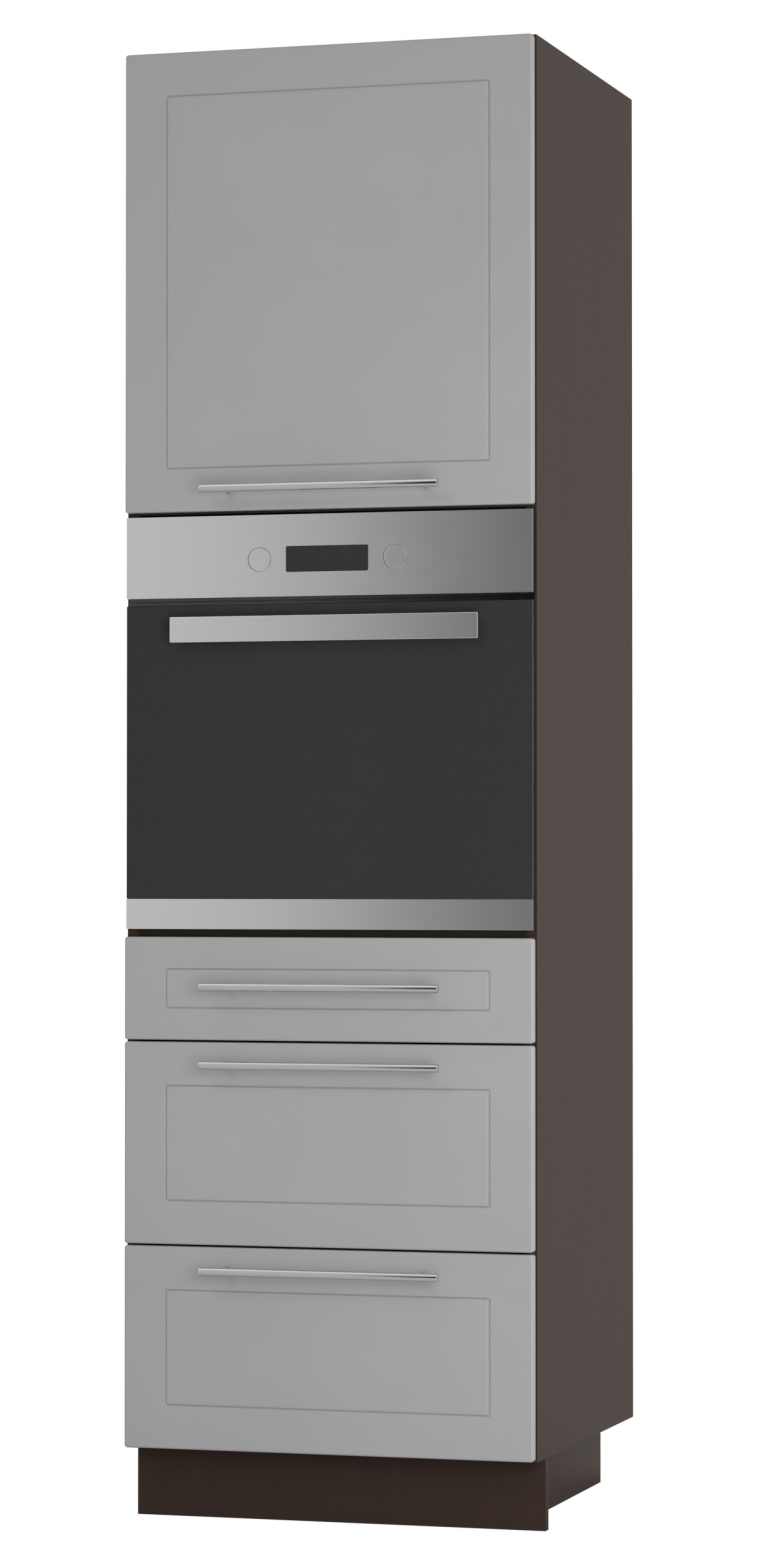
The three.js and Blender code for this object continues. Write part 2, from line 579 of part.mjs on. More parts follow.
function addControlPanel() {
  const halfWidth = OVEN_WIDTH / 2;
  const displayHalf = DISPLAY_WIDTH / 2;
  const displayCorner = 2;
  const displayLoop = (grow, y) => roundedLoop(displayHalf + grow, DISPLAY_HEIGHT / 2 + grow,
    displayCorner + grow, y, CONTROL_Z);
  const displayCut = loft([displayLoop(FIT, OVEN_BACK_Y), displayLoop(FIT, OVEN_Y - 1)]);
  const knobCuts = [-1, 1].map((side) => barY(KNOB_RADIUS + FIT, side * KNOB_SPACING / 2,
    OVEN_Y - 1, OVEN_BACK_Y, CONTROL_Z, 40));
  const lips = [-1, 1].map((side) => block(
    [Math.min(side * (halfWidth - PANEL_LIP), side * halfWidth), OVEN_BACK_Y - OVEN_SHEET, PANEL_BOTTOM_Z],
    [Math.max(side * (halfWidth - PANEL_LIP), side * halfWidth), OVEN_BACK_Y, PANEL_TOP_Z],
  ));
  const tray = sheetTray(halfWidth, PANEL_DEPTH, PANEL_BOTTOM_Z, PANEL_TOP_Z).add(join(...lips));
  addPiece('oven_control_panel', toGeometry(cut(tray, displayCut, ...knobCuts)), brushedSteel);
  addPiece('oven_display', loft([displayLoop(0, OVEN_Y + DISPLAY_THICKNESS), displayLoop(0, OVEN_Y)]), blackGlass);
}

// Push-in knobs: the cap slides on its spindle, and the spindle turns in the oven's front frame.
function addKnobs() {
  const frameRearY = FRAME_FRONT_Y + CAVITY_WALL;
  const faceWall = 2.5;
  const skirtInside = KNOB_RADIUS - 2;
  const hubRadius = SPINDLE_RADIUS + 3;
  const boreRadius = SPINDLE_RADIUS + FIT;
  const rimRound = 0.8;
  const capProfile = [[0, 0], [KNOB_RADIUS - rimRound, 0], [KNOB_RADIUS, rimRound], [KNOB_RADIUS, KNOB_LENGTH],
    [skirtInside, KNOB_LENGTH], [skirtInside, faceWall], [hubRadius, faceWall], [hubRadius, KNOB_LENGTH],
    [boreRadius, KNOB_LENGTH], [boreRadius, faceWall], [0, faceWall]];
  const spindleFront = OVEN_Y + 3;
  const spindleRear = frameRearY + 4;
  const collarRadius = SPINDLE_RADIUS + 3;
  const collarRear = frameRearY + 8;
  const flatHeight = 2;
  const flatRear = OVEN_Y + 23;
  for (const [suffix, side] of [['left', -1], ['right', 1]]) {
    const x = side * KNOB_SPACING / 2;
    addPiece(`knob_cap_${suffix}`, turnedY(capProfile, x, OVEN_Y, CONTROL_Z, 36), brushedSteel);
    const shaft = barY(SPINDLE_RADIUS, x, spindleFront, spindleRear, CONTROL_Z);
    const collar = barY(collarRadius, x, frameRearY + FIT, collarRear, CONTROL_Z);
    const dFlat = block([x - SPINDLE_RADIUS, spindleFront - 1, CONTROL_Z + flatHeight],
      [x + SPINDLE_RADIUS, flatRear, CONTROL_Z + SPINDLE_RADIUS + 1]);
    addPiece(`knob_spindle_${suffix}`, toGeometry(cut(join(shaft, collar), dFlat)), zincSheet);
  }
}

// A sheet case, open at the front, with cooling slots in the upper back and a terminal cover low on one side.
function addCasing() {
  const half = CASING_WIDTH / 2;
  const frontY = CARCASE_Y + FIT;
  const rearY = frontY + CASING_DEPTH;
  const bottomZ = NICHE_BOTTOM_Z + FIT;
  const topZ = CASING_TOP_Z;
  const hollow = block([-half + OVEN_SHEET, frontY - 1, bottomZ + OVEN_SHEET],
    [half - OVEN_SHEET, rearY - OVEN_SHEET, topZ - OVEN_SHEET]);
  const slotCount = 8;
  const slotPitch = 40;
  const slotHalfWidth = 2.5;
  const slotHeight = 45;
  const slotTop = topZ - 30;
  const slots = [];
  for (let i = 0; i < slotCount; i += 1) {
    const x = (i - (slotCount - 1) / 2) * slotPitch;
    slots.push(block([x - slotHalfWidth, rearY - OVEN_SHEET - 1, slotTop - slotHeight],
      [x + slotHalfWidth, rearY + 1, slotTop]));
  }
  const coverHalfWidth = 35;
  const coverHeight = 50;
  const coverDepth = 12;
  const coverX = half - 60;
  const coverZ = bottomZ + 40;
  const terminalCover = block([coverX - coverHalfWidth, rearY - OVEN_SHEET, coverZ],
    [coverX + coverHalfWidth, rearY + coverDepth, coverZ + coverHeight]);
  const shell = join(block([-half, frontY, bottomZ], [half, rearY, topZ]));
  const casing = cut(shell, hollow, ...slots).add(join(terminalCover));
  addPiece('oven_casing', toGeometry(casing), zincSheet);
}

// The enamelled box with its front frame, and shelf ribs pressed into both side walls.
function addCavity() {
  const half = CAVITY_WIDTH / 2;
  const frameFront = FRAME_FRONT_Y;
  const frameHalf = CASING_WIDTH / 2 - OVEN_SHEET - FIT;
  const frameBottom = NICHE_BOTTOM_Z + FIT + OVEN_SHEET + FIT;
  const frameTop = CASING_TOP_Z - OVEN_SHEET - FIT;
  const floorZ = CAVITY_FLOOR_Z;
  const roofZ = floorZ + CAVITY_HEIGHT;
  const rearY = frameFront + CAVITY_DEPTH;
  const shell = block([-half - CAVITY_WALL, frameFront, floorZ - CAVITY_WALL],
    [half + CAVITY_WALL, rearY + CAVITY_WALL, roofZ + CAVITY_WALL]);
  const frame = block([-frameHalf, frameFront, frameBottom], [frameHalf, frameFront + CAVITY_WALL, frameTop]);
  const hollow = block([-half, frameFront - 1, floorZ], [half, rearY, roofZ]);
  const ribCount = 5;
  const ribFirst = 48;
  const ribTopGap = 80;
  const ribPitch = (CAVITY_HEIGHT - ribFirst - ribTopGap) / (ribCount - 1);
  const ribDepth = 8;
  const ribHalfHeight = 4;
  const ribFront = frameFront + 25;
  const ribRear = rearY - 15;
  const ribs = [];
  for (let level = 0; level < ribCount; level += 1) {
    const ribZ = floorZ + ribFirst + level * ribPitch;
    const shape = new THREE.Shape([[-half - 1, ribZ - 2 * ribHalfHeight], [-half, ribZ - 2 * ribHalfHeight],
      [-half + ribDepth, ribZ - ribHalfHeight], [-half + ribDepth, ribZ], [-half - 1, ribZ]]
      .map(([x, z]) => new THREE.Vector2(x, z)));
    const rib = runAlongY(shape, ribFront, ribRear);
    ribs.push(rib, mirrored(rib));
  }
  const spindleHoles = [-1, 1].map((side) => barY(SPINDLE_RADIUS + FIT, side * KNOB_SPACING / 2,
    frameFront - 1, frameFront + CAVITY_WALL + 1, CONTROL_Z));
  const ears = [-1, 1].map((side) => hingeLug(side * HINGE_EAR_X, frameFront + 1, frameBottom,
    frameBottom + EAR_HEIGHT));
  const body = cut(join(shell, frame, ...ears), hollow, ...spindleHoles);
  addPiece('oven_cavity', toGeometry(body.add(join(...ribs))), blackEnamel);
  const rackFront = ribFront + 3;
  addRack(floorZ + ribFirst + RACK_LEVEL * ribPitch + FIT, rackFront);
}

function addRack(bottomZ, frontY) {
  const frameRadius = 3;
  const wireRadius = 1.5;
  const wireCount = 13;
  const sideGap = 4;
  const half = CAVITY_WIDTH / 2 - sideGap - frameRadius;
  const rearY = frontY + CAVITY_DEPTH - RACK_END_GAP;
  const z = bottomZ + frameRadius;
  const rails = [frontY, rearY].map((y) => barX(frameRadius, -half, half, y, z, 8));
  const sides = [-half, half].map((x) => barY(frameRadius, x, frontY - frameRadius, rearY + frameRadius, z, 8));
  const wires = [];
  for (let i = 1; i <= wireCount; i += 1) {
    const x = -half + 2 * half * i / (wireCount + 1);
    wires.push(barY(wireRadius, x, frontY, rearY, z, 6));
  }
  addPiece('oven_rack', toGeometry(join(...rails, ...sides, ...wires)), polishedBar);
}

// The drop-down door: outer glass over the full width, a bottom trim tray, an inner frame that goes into
// the niche, the inner glass, and a flat pull on two stand-offs.
function addOvenDoor() {
  const half = OVEN_WIDTH / 2;
  const glassBack = OVEN_Y + GLASS_THICKNESS;
  const glassEdge = 0.8;
  const glassLoop = (inset, y) => roundedLoop(half - inset, GLASS_HEIGHT / 2 - inset, 1, y,
    TRIM_TOP_Z + GLASS_HEIGHT / 2);
  addPiece('oven_door_glass', loft([glassLoop(FIT, glassBack), glassLoop(FIT, OVEN_Y + glassEdge),
    glassLoop(glassEdge, OVEN_Y)]), blackGlass);
  const notchPlay = 1;
  const notchHalf = EAR_THICKNESS / 2 + notchPlay;
  const notches = [-1, 1].map((side) => block([side * HINGE_EAR_X - notchHalf, OVEN_Y + 2 * OVEN_SHEET,
    OVEN_BOTTOM_Z - 1], [side * HINGE_EAR_X + notchHalf, OVEN_BACK_Y, OVEN_BOTTOM_Z + 2 * OVEN_SHEET]));
  const trim = cut(sheetTray(half, TRIM_DEPTH, OVEN_BOTTOM_Z, TRIM_TOP_Z), ...notches);
  addPiece('oven_door_trim', toGeometry(trim), brushedSteel);
  const innerSideGap = 8;
  const innerHalf = CASING_WIDTH / 2 - innerSideGap;
  const innerBottom = OVEN_BOTTOM_Z + 11;
  const innerTop = GLASS_TOP_Z - 6;
  const innerFront = OVEN_Y + TRIM_DEPTH + FIT;
  const innerRear = CARCASE_Y + 22;
  const footTop = TRIM_TOP_Z + 10;
  const outer = block([-half + FIT, glassBack + FIT, TRIM_TOP_Z + FIT], [half - FIT, OVEN_BACK_Y, GLASS_TOP_Z]);
  const inner = block([-innerHalf, OVEN_BACK_Y - 1, TRIM_TOP_Z + FIT], [innerHalf, innerRear, innerTop]);
  const foot = block([-innerHalf, innerFront, innerBottom], [innerHalf, innerRear, footTop]);
  const windowHalf = CAVITY_WIDTH / 2 - 20;
  const windowFront = innerRear - 14;
  const windowBottom = innerBottom + 70;
  const windowTop = innerTop - 60;
  const windowPocket = block([-windowHalf, windowFront, windowBottom], [windowHalf, innerRear + 1, windowTop]);
  const knuckleRear = CARCASE_Y + 10;
  const knuckleHeight = 10;
  const knuckles = [-1, 1].map((side) => hingeLug(side * (HINGE_EAR_X - EAR_THICKNESS - FIT),
    knuckleRear, PIVOT_Z, PIVOT_Z + knuckleHeight));
  const frame = cut(join(outer, inner, foot, ...knuckles), windowPocket);
  addPiece('oven_door_frame', toGeometry(frame), blackEnamel);
  const paneY = innerRear + FIT;
  const paneInset = 2;
  const paneCorner = 6;
  const paneThickness = 4;
  const paneHalfHeight = (innerTop - innerBottom) / 2 - paneInset;
  const paneLoop = (y) => roundedLoop(innerHalf - paneInset, paneHalfHeight, paneCorner, y,
    innerBottom + paneInset + paneHalfHeight);
  addPiece('oven_door_inner_glass', loft([paneLoop(paneY + paneThickness), paneLoop(paneY)]), blackGlass);
  addOvenHandle();
}

// A hinge lug: a round nose on the pivot line and a web that runs back from it.
function hingeLug(x, webRear, webBottom, webTop) {
  const low = x - EAR_THICKNESS / 2;
  const high = x + EAR_THICKNESS / 2;
  const nose = barX(EAR_NOSE_RADIUS, low, high, PIVOT_Y, PIVOT_Z, 16);
  const web = block([low, PIVOT_Y, webBottom], [high, webRear, webTop]);
  return toGeometry(join(nose, web));
}

function addOvenHandle() {
  const topZ = GLASS_TOP_Z - OVEN_HANDLE_DROP;
  const centreZ = topZ - OVEN_HANDLE_HEIGHT / 2;
  const frontY = OVEN_Y - OVEN_HANDLE_REACH;
  const ease = 0.8;
  const plateCorner = 1.5;
  const standOffRadius = 8;
  const standOffX = OVEN_HANDLE_LENGTH / 2 - 30;
  const plateLoop = (inset, y) => roundedLoop(OVEN_HANDLE_LENGTH / 2 - inset, OVEN_HANDLE_HEIGHT / 2 - inset,
    plateCorner, y, centreZ);
  const rearY = frontY + OVEN_HANDLE_THICKNESS;
  const plate = loft([plateLoop(ease, rearY), plateLoop(0, rearY - ease), plateLoop(0, frontY + ease),
    plateLoop(ease, frontY)]);
  const standOffs = [-1, 1].map((side) => barY(standOffRadius, side * standOffX, rearY - 1, OVEN_Y - FIT, centreZ));
  addPiece('oven_door_handle', toGeometry(join(plate, ...standOffs)), brushedSteel);
}

addCarcase();
addBackPanels();
addPlinth();
addFlapDoor();
addFlapHinges();
addStruts();
addDrawers();
addControlPanel();
addKnobs();
addCasing();
addCavity();
addOvenDoor();

export default unit;
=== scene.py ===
import json
import math

import bmesh
import bpy
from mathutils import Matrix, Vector


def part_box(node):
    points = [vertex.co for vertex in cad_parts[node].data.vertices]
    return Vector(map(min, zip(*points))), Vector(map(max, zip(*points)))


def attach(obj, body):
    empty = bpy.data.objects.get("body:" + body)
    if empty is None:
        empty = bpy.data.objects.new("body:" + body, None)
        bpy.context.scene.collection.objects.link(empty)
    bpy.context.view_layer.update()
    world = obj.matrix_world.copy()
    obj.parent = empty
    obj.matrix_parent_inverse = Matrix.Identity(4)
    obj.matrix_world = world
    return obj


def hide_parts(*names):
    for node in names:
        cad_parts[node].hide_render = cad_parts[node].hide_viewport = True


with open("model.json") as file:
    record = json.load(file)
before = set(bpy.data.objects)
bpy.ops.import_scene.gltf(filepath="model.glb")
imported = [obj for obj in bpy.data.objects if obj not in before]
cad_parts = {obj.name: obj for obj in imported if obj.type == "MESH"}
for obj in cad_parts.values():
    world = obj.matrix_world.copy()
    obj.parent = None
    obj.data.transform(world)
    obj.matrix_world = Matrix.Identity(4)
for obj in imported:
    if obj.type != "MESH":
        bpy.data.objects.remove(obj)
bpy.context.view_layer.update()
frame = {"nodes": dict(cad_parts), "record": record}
scene = bpy.context.scene

MM = 0.001
WHITE = (1, 1, 1, 1)

# ---------------------------------------------------------------- camera
FRAME_HEIGHT_PX = 2559
FOCAL_PX = 7472.6
SENSOR_MM = 36.0
CAMERA_PLACE = Vector((1.9144, -6.3729, 0.9123))
CAMERA_TURN = 0.291566
CAMERA_TILT = 0.019553


def make_camera():
    data = bpy.data.cameras.new("camera")
    data.sensor_fit = "AUTO"
    data.sensor_width = SENSOR_MM
    data.lens = FOCAL_PX / FRAME_HEIGHT_PX * SENSOR_MM
    camera = bpy.data.objects.new("camera", data)
    camera.location = CAMERA_PLACE
    camera.rotation_euler = (math.pi / 2 + CAMERA_TILT, 0, CAMERA_TURN)
    scene.collection.objects.link(camera)
    scene.camera = camera


# ---------------------------------------------------------------- colours and node helpers
def linear(level):
    """An sRGB level from 0 to 255 as a linear value."""
    level /= 255
    return level / 12.92 if level <= 0.04045 else ((level + 0.055) / 1.055) ** 2.4


def rgb(red, green, blue):
    return (linear(red), linear(green), linear(blue), 1.0)


def grey(level):
    return rgb(level, level, level)


def new_material(name):
    material = bpy.data.materials.new(name)
    material.use_nodes = True
    return material


def math_node(tree, operation, first, second):
    """The second operand is a socket or a plain number."""
    node = tree.nodes.new("ShaderNodeMath")
    node.operation = operation
    tree.links.new(first, node.inputs[0])
    if isinstance(second, float):
        node.inputs[1].default_value = second
    else:
        tree.links.new(second, node.inputs[1])
    return node.outputs["Value"]


def map_range(tree, value, source, target, shape="LINEAR"):
    """The value carried over from the source range to the target range."""
    node = tree.nodes.new("ShaderNodeMapRange")
    node.interpolation_type = shape
    for socket, level in zip(("From Min", "From Max", "To Min", "To Max"), (*source, *target)):
        node.inputs[socket].default_value = level
    tree.links.new(value, node.inputs["Value"])
    return node.outputs["Result"]


def split_axes(tree, output_name):
    """X, Y and Z outputs of one of the texture coordinates."""
    place = tree.nodes.new("ShaderNodeTexCoord")
    split = tree.nodes.new("ShaderNodeSeparateXYZ")
    tree.links.new(place.outputs[output_name], split.inputs[0])
    return split.outputs


# Parts of a factor's range from 0 to 1: where noise mostly lies, and where a face turns to the side, for
# the painted shade on end faces.
NOISE_SPAN = (0.3, 0.7)
WIDE_SPAN = (0.25, 0.75)
END_SHADE_SPAN = (0.3, 0.7)


class Surface:
    """One material: a principled shader with a few procedural layers added to it."""

    def __init__(self, name, roughness, metallic=0.0, specular=0.5):
        self.material = new_material(name)
        self.tree = self.material.node_tree
        self.shader = self.tree.nodes["Principled BSDF"]
        self.shader.inputs["Roughness"].default_value = roughness
        self.shader.inputs["Metallic"].default_value = metallic
        self.shader.inputs["Specular IOR Level"].default_value = specular
        self.place = self.node("ShaderNodeTexCoord").outputs["Object"]

    def node(self, kind):
        return self.tree.nodes.new(kind)

    def link(self, output, socket):
        self.tree.links.new(output, socket)

    def noise(self, scale, stretch=(1, 1, 1), detail=4.0, roughness=0.55):
        mapping = self.node("ShaderNodeMapping")
        mapping.inputs["Scale"].default_value = stretch
        self.link(self.place, mapping.inputs["Vector"])
        noise = self.node("ShaderNodeTexNoise")
        noise.inputs["Scale"].default_value = scale
        noise.inputs["Detail"].default_value = detail
        noise.inputs["Roughness"].default_value = roughness
        self.link(mapping.outputs["Vector"], noise.inputs["Vector"])
        return noise.outputs["Fac"]

    def colour(self, factor, dark, light, span=NOISE_SPAN):
        """The base colour goes from dark to light as the factor crosses the span."""
        ramp = self.node("ShaderNodeValToRGB")
        for element, position, tone in zip(ramp.color_ramp.elements, span, (dark, light)):
            element.position = position
            element.color = tone
        self.link(factor, ramp.inputs["Fac"])
        self.link(ramp.outputs["Color"], self.shader.inputs["Base Color"])

    def vary_roughness(self, factor, low, high):
        self.link(map_range(self.tree, factor, NOISE_SPAN, (low, high)), self.shader.inputs["Roughness"])

    def bump(self, factor, height, strength):
        bump = self.node("ShaderNodeBump")
        bump.inputs["Strength"].default_value = strength
        bump.inputs["Distance"].default_value = height
        self.link(factor, bump.inputs["Height"])
        self.link(bump.outputs["Normal"], self.shader.inputs["Normal"])

    def paint_shade_on_ends(self, share):
        """Painted shade: the end faces across X keep only a share of the colour."""
        facing = split_axes(self.tree, "Normal")
        across = math_node(self.tree, "MULTIPLY", facing["X"], facing["X"])
        dimmed = self.node("ShaderNodeVectorMath")
        dimmed.operation = "SCALE"
        base = self.shader.inputs["Base Color"]
        self.link(base.links[0].from_socket, dimmed.inputs[0])
        self.link(map_range(self.tree, across, END_SHADE_SPAN, (1.0, share)), dimmed.inputs["Scale"])
        self.link(dimmed.outputs["Vector"], base)


# ---------------------------------------------------------------- materials
def satin_foil():
    surface = Surface("front_foil", 0.42)
    surface.colour(surface.noise(3.5, detail=3), grey(145), grey(148))
    surface.vary_roughness(surface.noise(9, detail=5), 0.38, 0.48)
    surface.bump(surface.noise(900, detail=2), 0.04 * MM, 0.35)
    return surface.material


def brown_melamine(name, dark, light):
    surface = Surface(name, 0.46, specular=0.036)
    grain = surface.noise(55, stretch=(1, 1, 0.12), detail=6, roughness=0.62)
    surface.colour(grain, dark, light, WIDE_SPAN)
    surface.vary_roughness(surface.noise(160, detail=3), 0.44, 0.5)
    surface.bump(surface.noise(700, stretch=(1, 1, 0.3), detail=4), 0.04 * MM, 0.3)
    return surface.material


def brown_hardboard():
    surface = Surface("back_board", 0.6)
    fibres = surface.noise(160, detail=8, roughness=0.7)
    surface.colour(fibres, rgb(43, 33, 28), rgb(56, 44, 38))
    surface.bump(fibres, 0.2 * MM, 0.4)
    return surface.material


def chipboard_light():
    surface = Surface("drawer_board", 0.5)
    cloud = surface.noise(45, stretch=(1, 0.2, 1), detail=5)
    surface.colour(cloud, rgb(205, 203, 197), rgb(216, 214, 209))
    surface.vary_roughness(surface.noise(20), 0.45, 0.56)
    surface.bump(surface.noise(600, detail=3), 0.06 * MM, 0.4)
    return surface.material


def brushed(name, roughness, ends=1.0):
    """Brushed steel; its end faces keep the given share of the colour, as painted shade."""
    surface = Surface(name, roughness, metallic=1.0)
    lines = surface.noise(1500, stretch=(0.008, 1, 1), detail=4, roughness=0.5)
    surface.colour(lines, grey(230), grey(235), WIDE_SPAN)
    surface.vary_roughness(lines, roughness - 0.01, roughness + 0.01)
    surface.bump(lines, 0.01 * MM, 0.03)
    if ends < 1.0:
        surface.paint_shade_on_ends(ends)
    return surface.material


def chrome(name, level, roughness):
    surface = Surface(name, roughness, metallic=1.0)
    haze = surface.noise(120, detail=5)
    surface.colour(haze, grey(level - 5), grey(level))
    surface.vary_roughness(haze, roughness * 0.7, roughness * 1.7)
    surface.bump(surface.noise(700, stretch=(0.05, 1, 1), detail=3), 0.01 * MM, 0.2)
    return surface.material


def dark_glass(name, level, specular, roughness=0.04):
    surface = Surface(name, roughness, specular=specular)
    surface.colour(surface.noise(260, detail=2), grey(level - 2), grey(level + 1))
    surface.vary_roughness(surface.noise(6, detail=5), roughness, roughness * 2.2)
    return surface.material


def enamel():
    surface = Surface("enamel", 0.22)
    specks = surface.noise(900, detail=1, roughness=0.3)
    surface.colour(specks, rgb(20, 22, 27), rgb(62, 66, 74), (0.66, 0.74))
    surface.vary_roughness(surface.noise(30), 0.16, 0.3)
    surface.bump(surface.noise(45, detail=3), 0.3 * MM, 0.25)
    return surface.material


def zinc(name, dark, light, roughness):
    surface = Surface(name, roughness, metallic=1.0)
    spangle = surface.node("ShaderNodeTexVoronoi")
    spangle.inputs["Scale"].default_value = 90
    surface.link(surface.place, spangle.inputs["Vector"])
    surface.colour(spangle.outputs["Color"], grey(dark), grey(light), (0.1, 0.9))
    surface.vary_roughness(surface.noise(60), roughness - 0.06, roughness + 0.08)
    surface.bump(surface.noise(300, detail=4), 0.04 * MM, 0.3)
    return surface.material


def powder_coat():
    surface = Surface("drawer_steel", 0.4, metallic=0.3)
    surface.colour(surface.noise(300, detail=3), grey(158), grey(170))
    surface.vary_roughness(surface.noise(25), 0.34, 0.46)
    surface.bump(surface.noise(1400, detail=2), 0.06 * MM, 0.5)
    return surface.material


def painted(name, red, green, blue, roughness):
    surface = Surface(name, roughness)
    cloud = surface.noise(60, detail=4)
    surface.colour(cloud, rgb(red - 4, green - 4, blue - 4), rgb(red + 3, green + 3, blue + 3))
    surface.vary_roughness(cloud, roughness - 0.05, roughness + 0.08)
    surface.bump(surface.noise(800, detail=2), 0.04 * MM, 0.35)
    return surface.material


LOOKS = {
    "carcase_board": brown_melamine("carcase_board", rgb(50, 40, 35), rgb(54, 43, 38)),
    # shelf_board: a darker copy of the carcase brown, painted shade for the oven shelf's recessed front
    # edge
    "shelf_board": brown_melamine("shelf_board", rgb(36, 32, 27), rgb(39, 35, 30)),
    "back_board": brown_hardboard(),
    "front_foil": satin_foil(),
    "handle_chrome": chrome("handle_chrome", 208, 0.04),
    "zinc": zinc("zinc", 150, 178, 0.34),
    "strut_black": painted("strut_black", 24, 24, 25, 0.35),
    "rod_chrome": chrome("rod_chrome", 214, 0.14),
    "drawer_steel": powder_coat(),
    "drawer_board": chipboard_light(),
    "brushed_steel": brushed("brushed_steel", 0.26),
    # panel_steel: its end faces are darkened to near black, painted shade
    "panel_steel": brushed("panel_steel", 0.26, ends=0.03),
    "knob_steel": brushed("knob_steel", 0.25),
    "black_glass": dark_glass("black_glass", 46, specular=0.06),
    "door_glass": dark_glass("door_glass", 48, specular=0.04),
    "slot_black": dark_glass("slot_black", 8, specular=1.0, roughness=0.1),
    "enamel": enamel(),
    "casing_zinc": zinc("casing_zinc", 140, 172, 0.4),
    "screw": zinc("screw", 176, 206, 0.26),
    "rubber": painted("rubber", 30, 30, 31, 0.6),
    "heater": painted("heater", 52, 46, 43, 0.42),
    "lens": painted("lens", 214, 216, 212, 0.12),
    "cap_brown": painted("cap_brown", 62, 49, 44, 0.4),
}

# ---------------------------------------------------------------- CAD nodes
# Nodes whose look isn't the one named after their slot.
NODE_LOOKS = {
    # The control panel and the door trim get panel_steel, with painted shade on their end faces.
    "oven_control_panel": "panel_steel",
    "oven_door_trim": "panel_steel",
    # The oven shelf gets the darker shelf_board: painted shade, as its front edge sits recessed.
    "oven_shelf": "shelf_board",
}
# Bevel widths in millimetres, by slot.
EASED_EDGES = {"carcase_board": 0.5, "drawer_board": 0.4, "enamel": 0.6, "brushed_steel": 0.35,
               "casing_zinc": 0.4, "drawer_steel": 0.3, "zinc": 0.25}
OTHER_EASE = 0.2
WELD_DISTANCE = 0.01 * MM
FLAT_ANGLE = math.radians(0.5)
BEVEL_ANGLE = math.radians(40)
BEVEL_SEGMENTS = 3


def dress_cad_nodes():
    """Every CAD node gets its slot's material, and a fine bevel that catches the light on its edges."""
    for entry in frame["record"]["subparts"]:
        node = frame["nodes"][entry["node"]]
        for material_slot in node.material_slots:
            material_slot.link = "OBJECT"
            material_slot.material = LOOKS[NODE_LOOKS.get(entry["node"], entry["material_slot"])]
        ease_edges(node, EASED_EDGES.get(entry["material_slot"], OTHER_EASE))


def ease_edges(piece, width_mm):
    weld = piece.modifiers.new("weld", "WELD")
    weld.merge_threshold = WELD_DISTANCE
    planes = piece.modifiers.new("planes", "DECIMATE")
    planes.decimate_type = "DISSOLVE"
    planes.angle_limit = FLAT_ANGLE
    bevel = piece.modifiers.new("bevel", "BEVEL")
    bevel.width = width_mm * MM
    bevel.segments = BEVEL_SEGMENTS
    bevel.limit_method = "ANGLE"
    bevel.angle_limit = BEVEL_ANGLE
    bevel.use_clamp_overlap = True
    bevel.harden_normals = True


# ---------------------------------------------------------------- mesh helpers
MERGE_DISTANCE = 1e-7
SHARP_DEGREES = 28
SOFT_SHARP_DEGREES = 60
CORNER_STEPS = 8
BLOCK_EASE = 0.4 * MM
BLOCK_SEGMENTS = 3
TUBE_SIDES = 12
TO_RIGHT = (1, 0, 0)
TO_BACK = (0, 1, 0)
TO_FRONT = (0, -1, 0)
DOWN = (0, 0, -1)
SIDES = (("left", -1), ("right", 1))


def in_mm(*pairs):
    """Pairs of millimetres as metres."""
    return [(first * MM, second * MM) for first, second in pairs]


def quarter_turn(steps):
    """Sine and cosine at even steps over a quarter turn."""
    angles = [step / steps * math.pi / 2 for step in range(steps + 1)]
    return [(math.sin(angle), math.cos(angle)) for angle in angles]


def side_span(side, near, far):
    """Low and high X between two distances from the middle, on the left (-1) or the right (1)."""
    return sorted((side * near, side * far))


def object_from(name, bm):
    mesh = bpy.data.meshes.new(name)
    bm.to_mesh(mesh)
    bm.free()
    made = bpy.data.objects.new(name, mesh)
    scene.collection.objects.link(made)
    return made


def piece_from(name, bm, body, material, sharp_degrees=SHARP_DEGREES):
    """A finished piece on its body: smooth faces, with edges sharp above the angle."""
    bmesh.ops.remove_doubles(bm, verts=bm.verts, dist=MERGE_DISTANCE)
    bmesh.ops.recalc_face_normals(bm, faces=bm.faces)
    piece = object_from(name, bm)
    for face in piece.data.polygons:
        face.use_smooth = True
    piece.data.set_sharp_from_angle(angle=math.radians(sharp_degrees))
    piece.data.materials.append(material)
    weighted = piece.modifiers.new("weighted", "WEIGHTED_NORMAL")
    weighted.keep_sharp = True
    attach(piece, body)
    return piece


def rounded_loop(bm, half_width, half_height, radius, y, centre_x, centre_z):
    """The vertices of a rounded rectangle across Y."""
    loop = []
    for quarter, (sign_x, sign_z) in enumerate(((1, 1), (-1, 1), (-1, -1), (1, -1))):
        for step in range(CORNER_STEPS + 1):
            angle = (quarter + step / CORNER_STEPS) * math.pi / 2
            x = centre_x + sign_x * (half_width - radius) + radius * math.cos(angle)
            z = centre_z + sign_z * (half_height - radius) + radius * math.sin(angle)
            loop.append(bm.verts.new((x, y, z)))
    return loop


def plate_loop(bm, box, inset_x, inset_z, corner, depth):
    """A rounded loop of a plate: its box's outline drawn in by the insets, at a depth behind the face."""
    low, high = box
    half_width, half_height = (high[0] - low[0]) / 2, (high[2] - low[2]) / 2
    centre_x, centre_z = (high[0] + low[0]) / 2, (high[2] + low[2]) / 2
    return rounded_loop(bm, half_width - inset_x, half_height - inset_z, corner, low[1] + depth,
                        centre_x, centre_z)


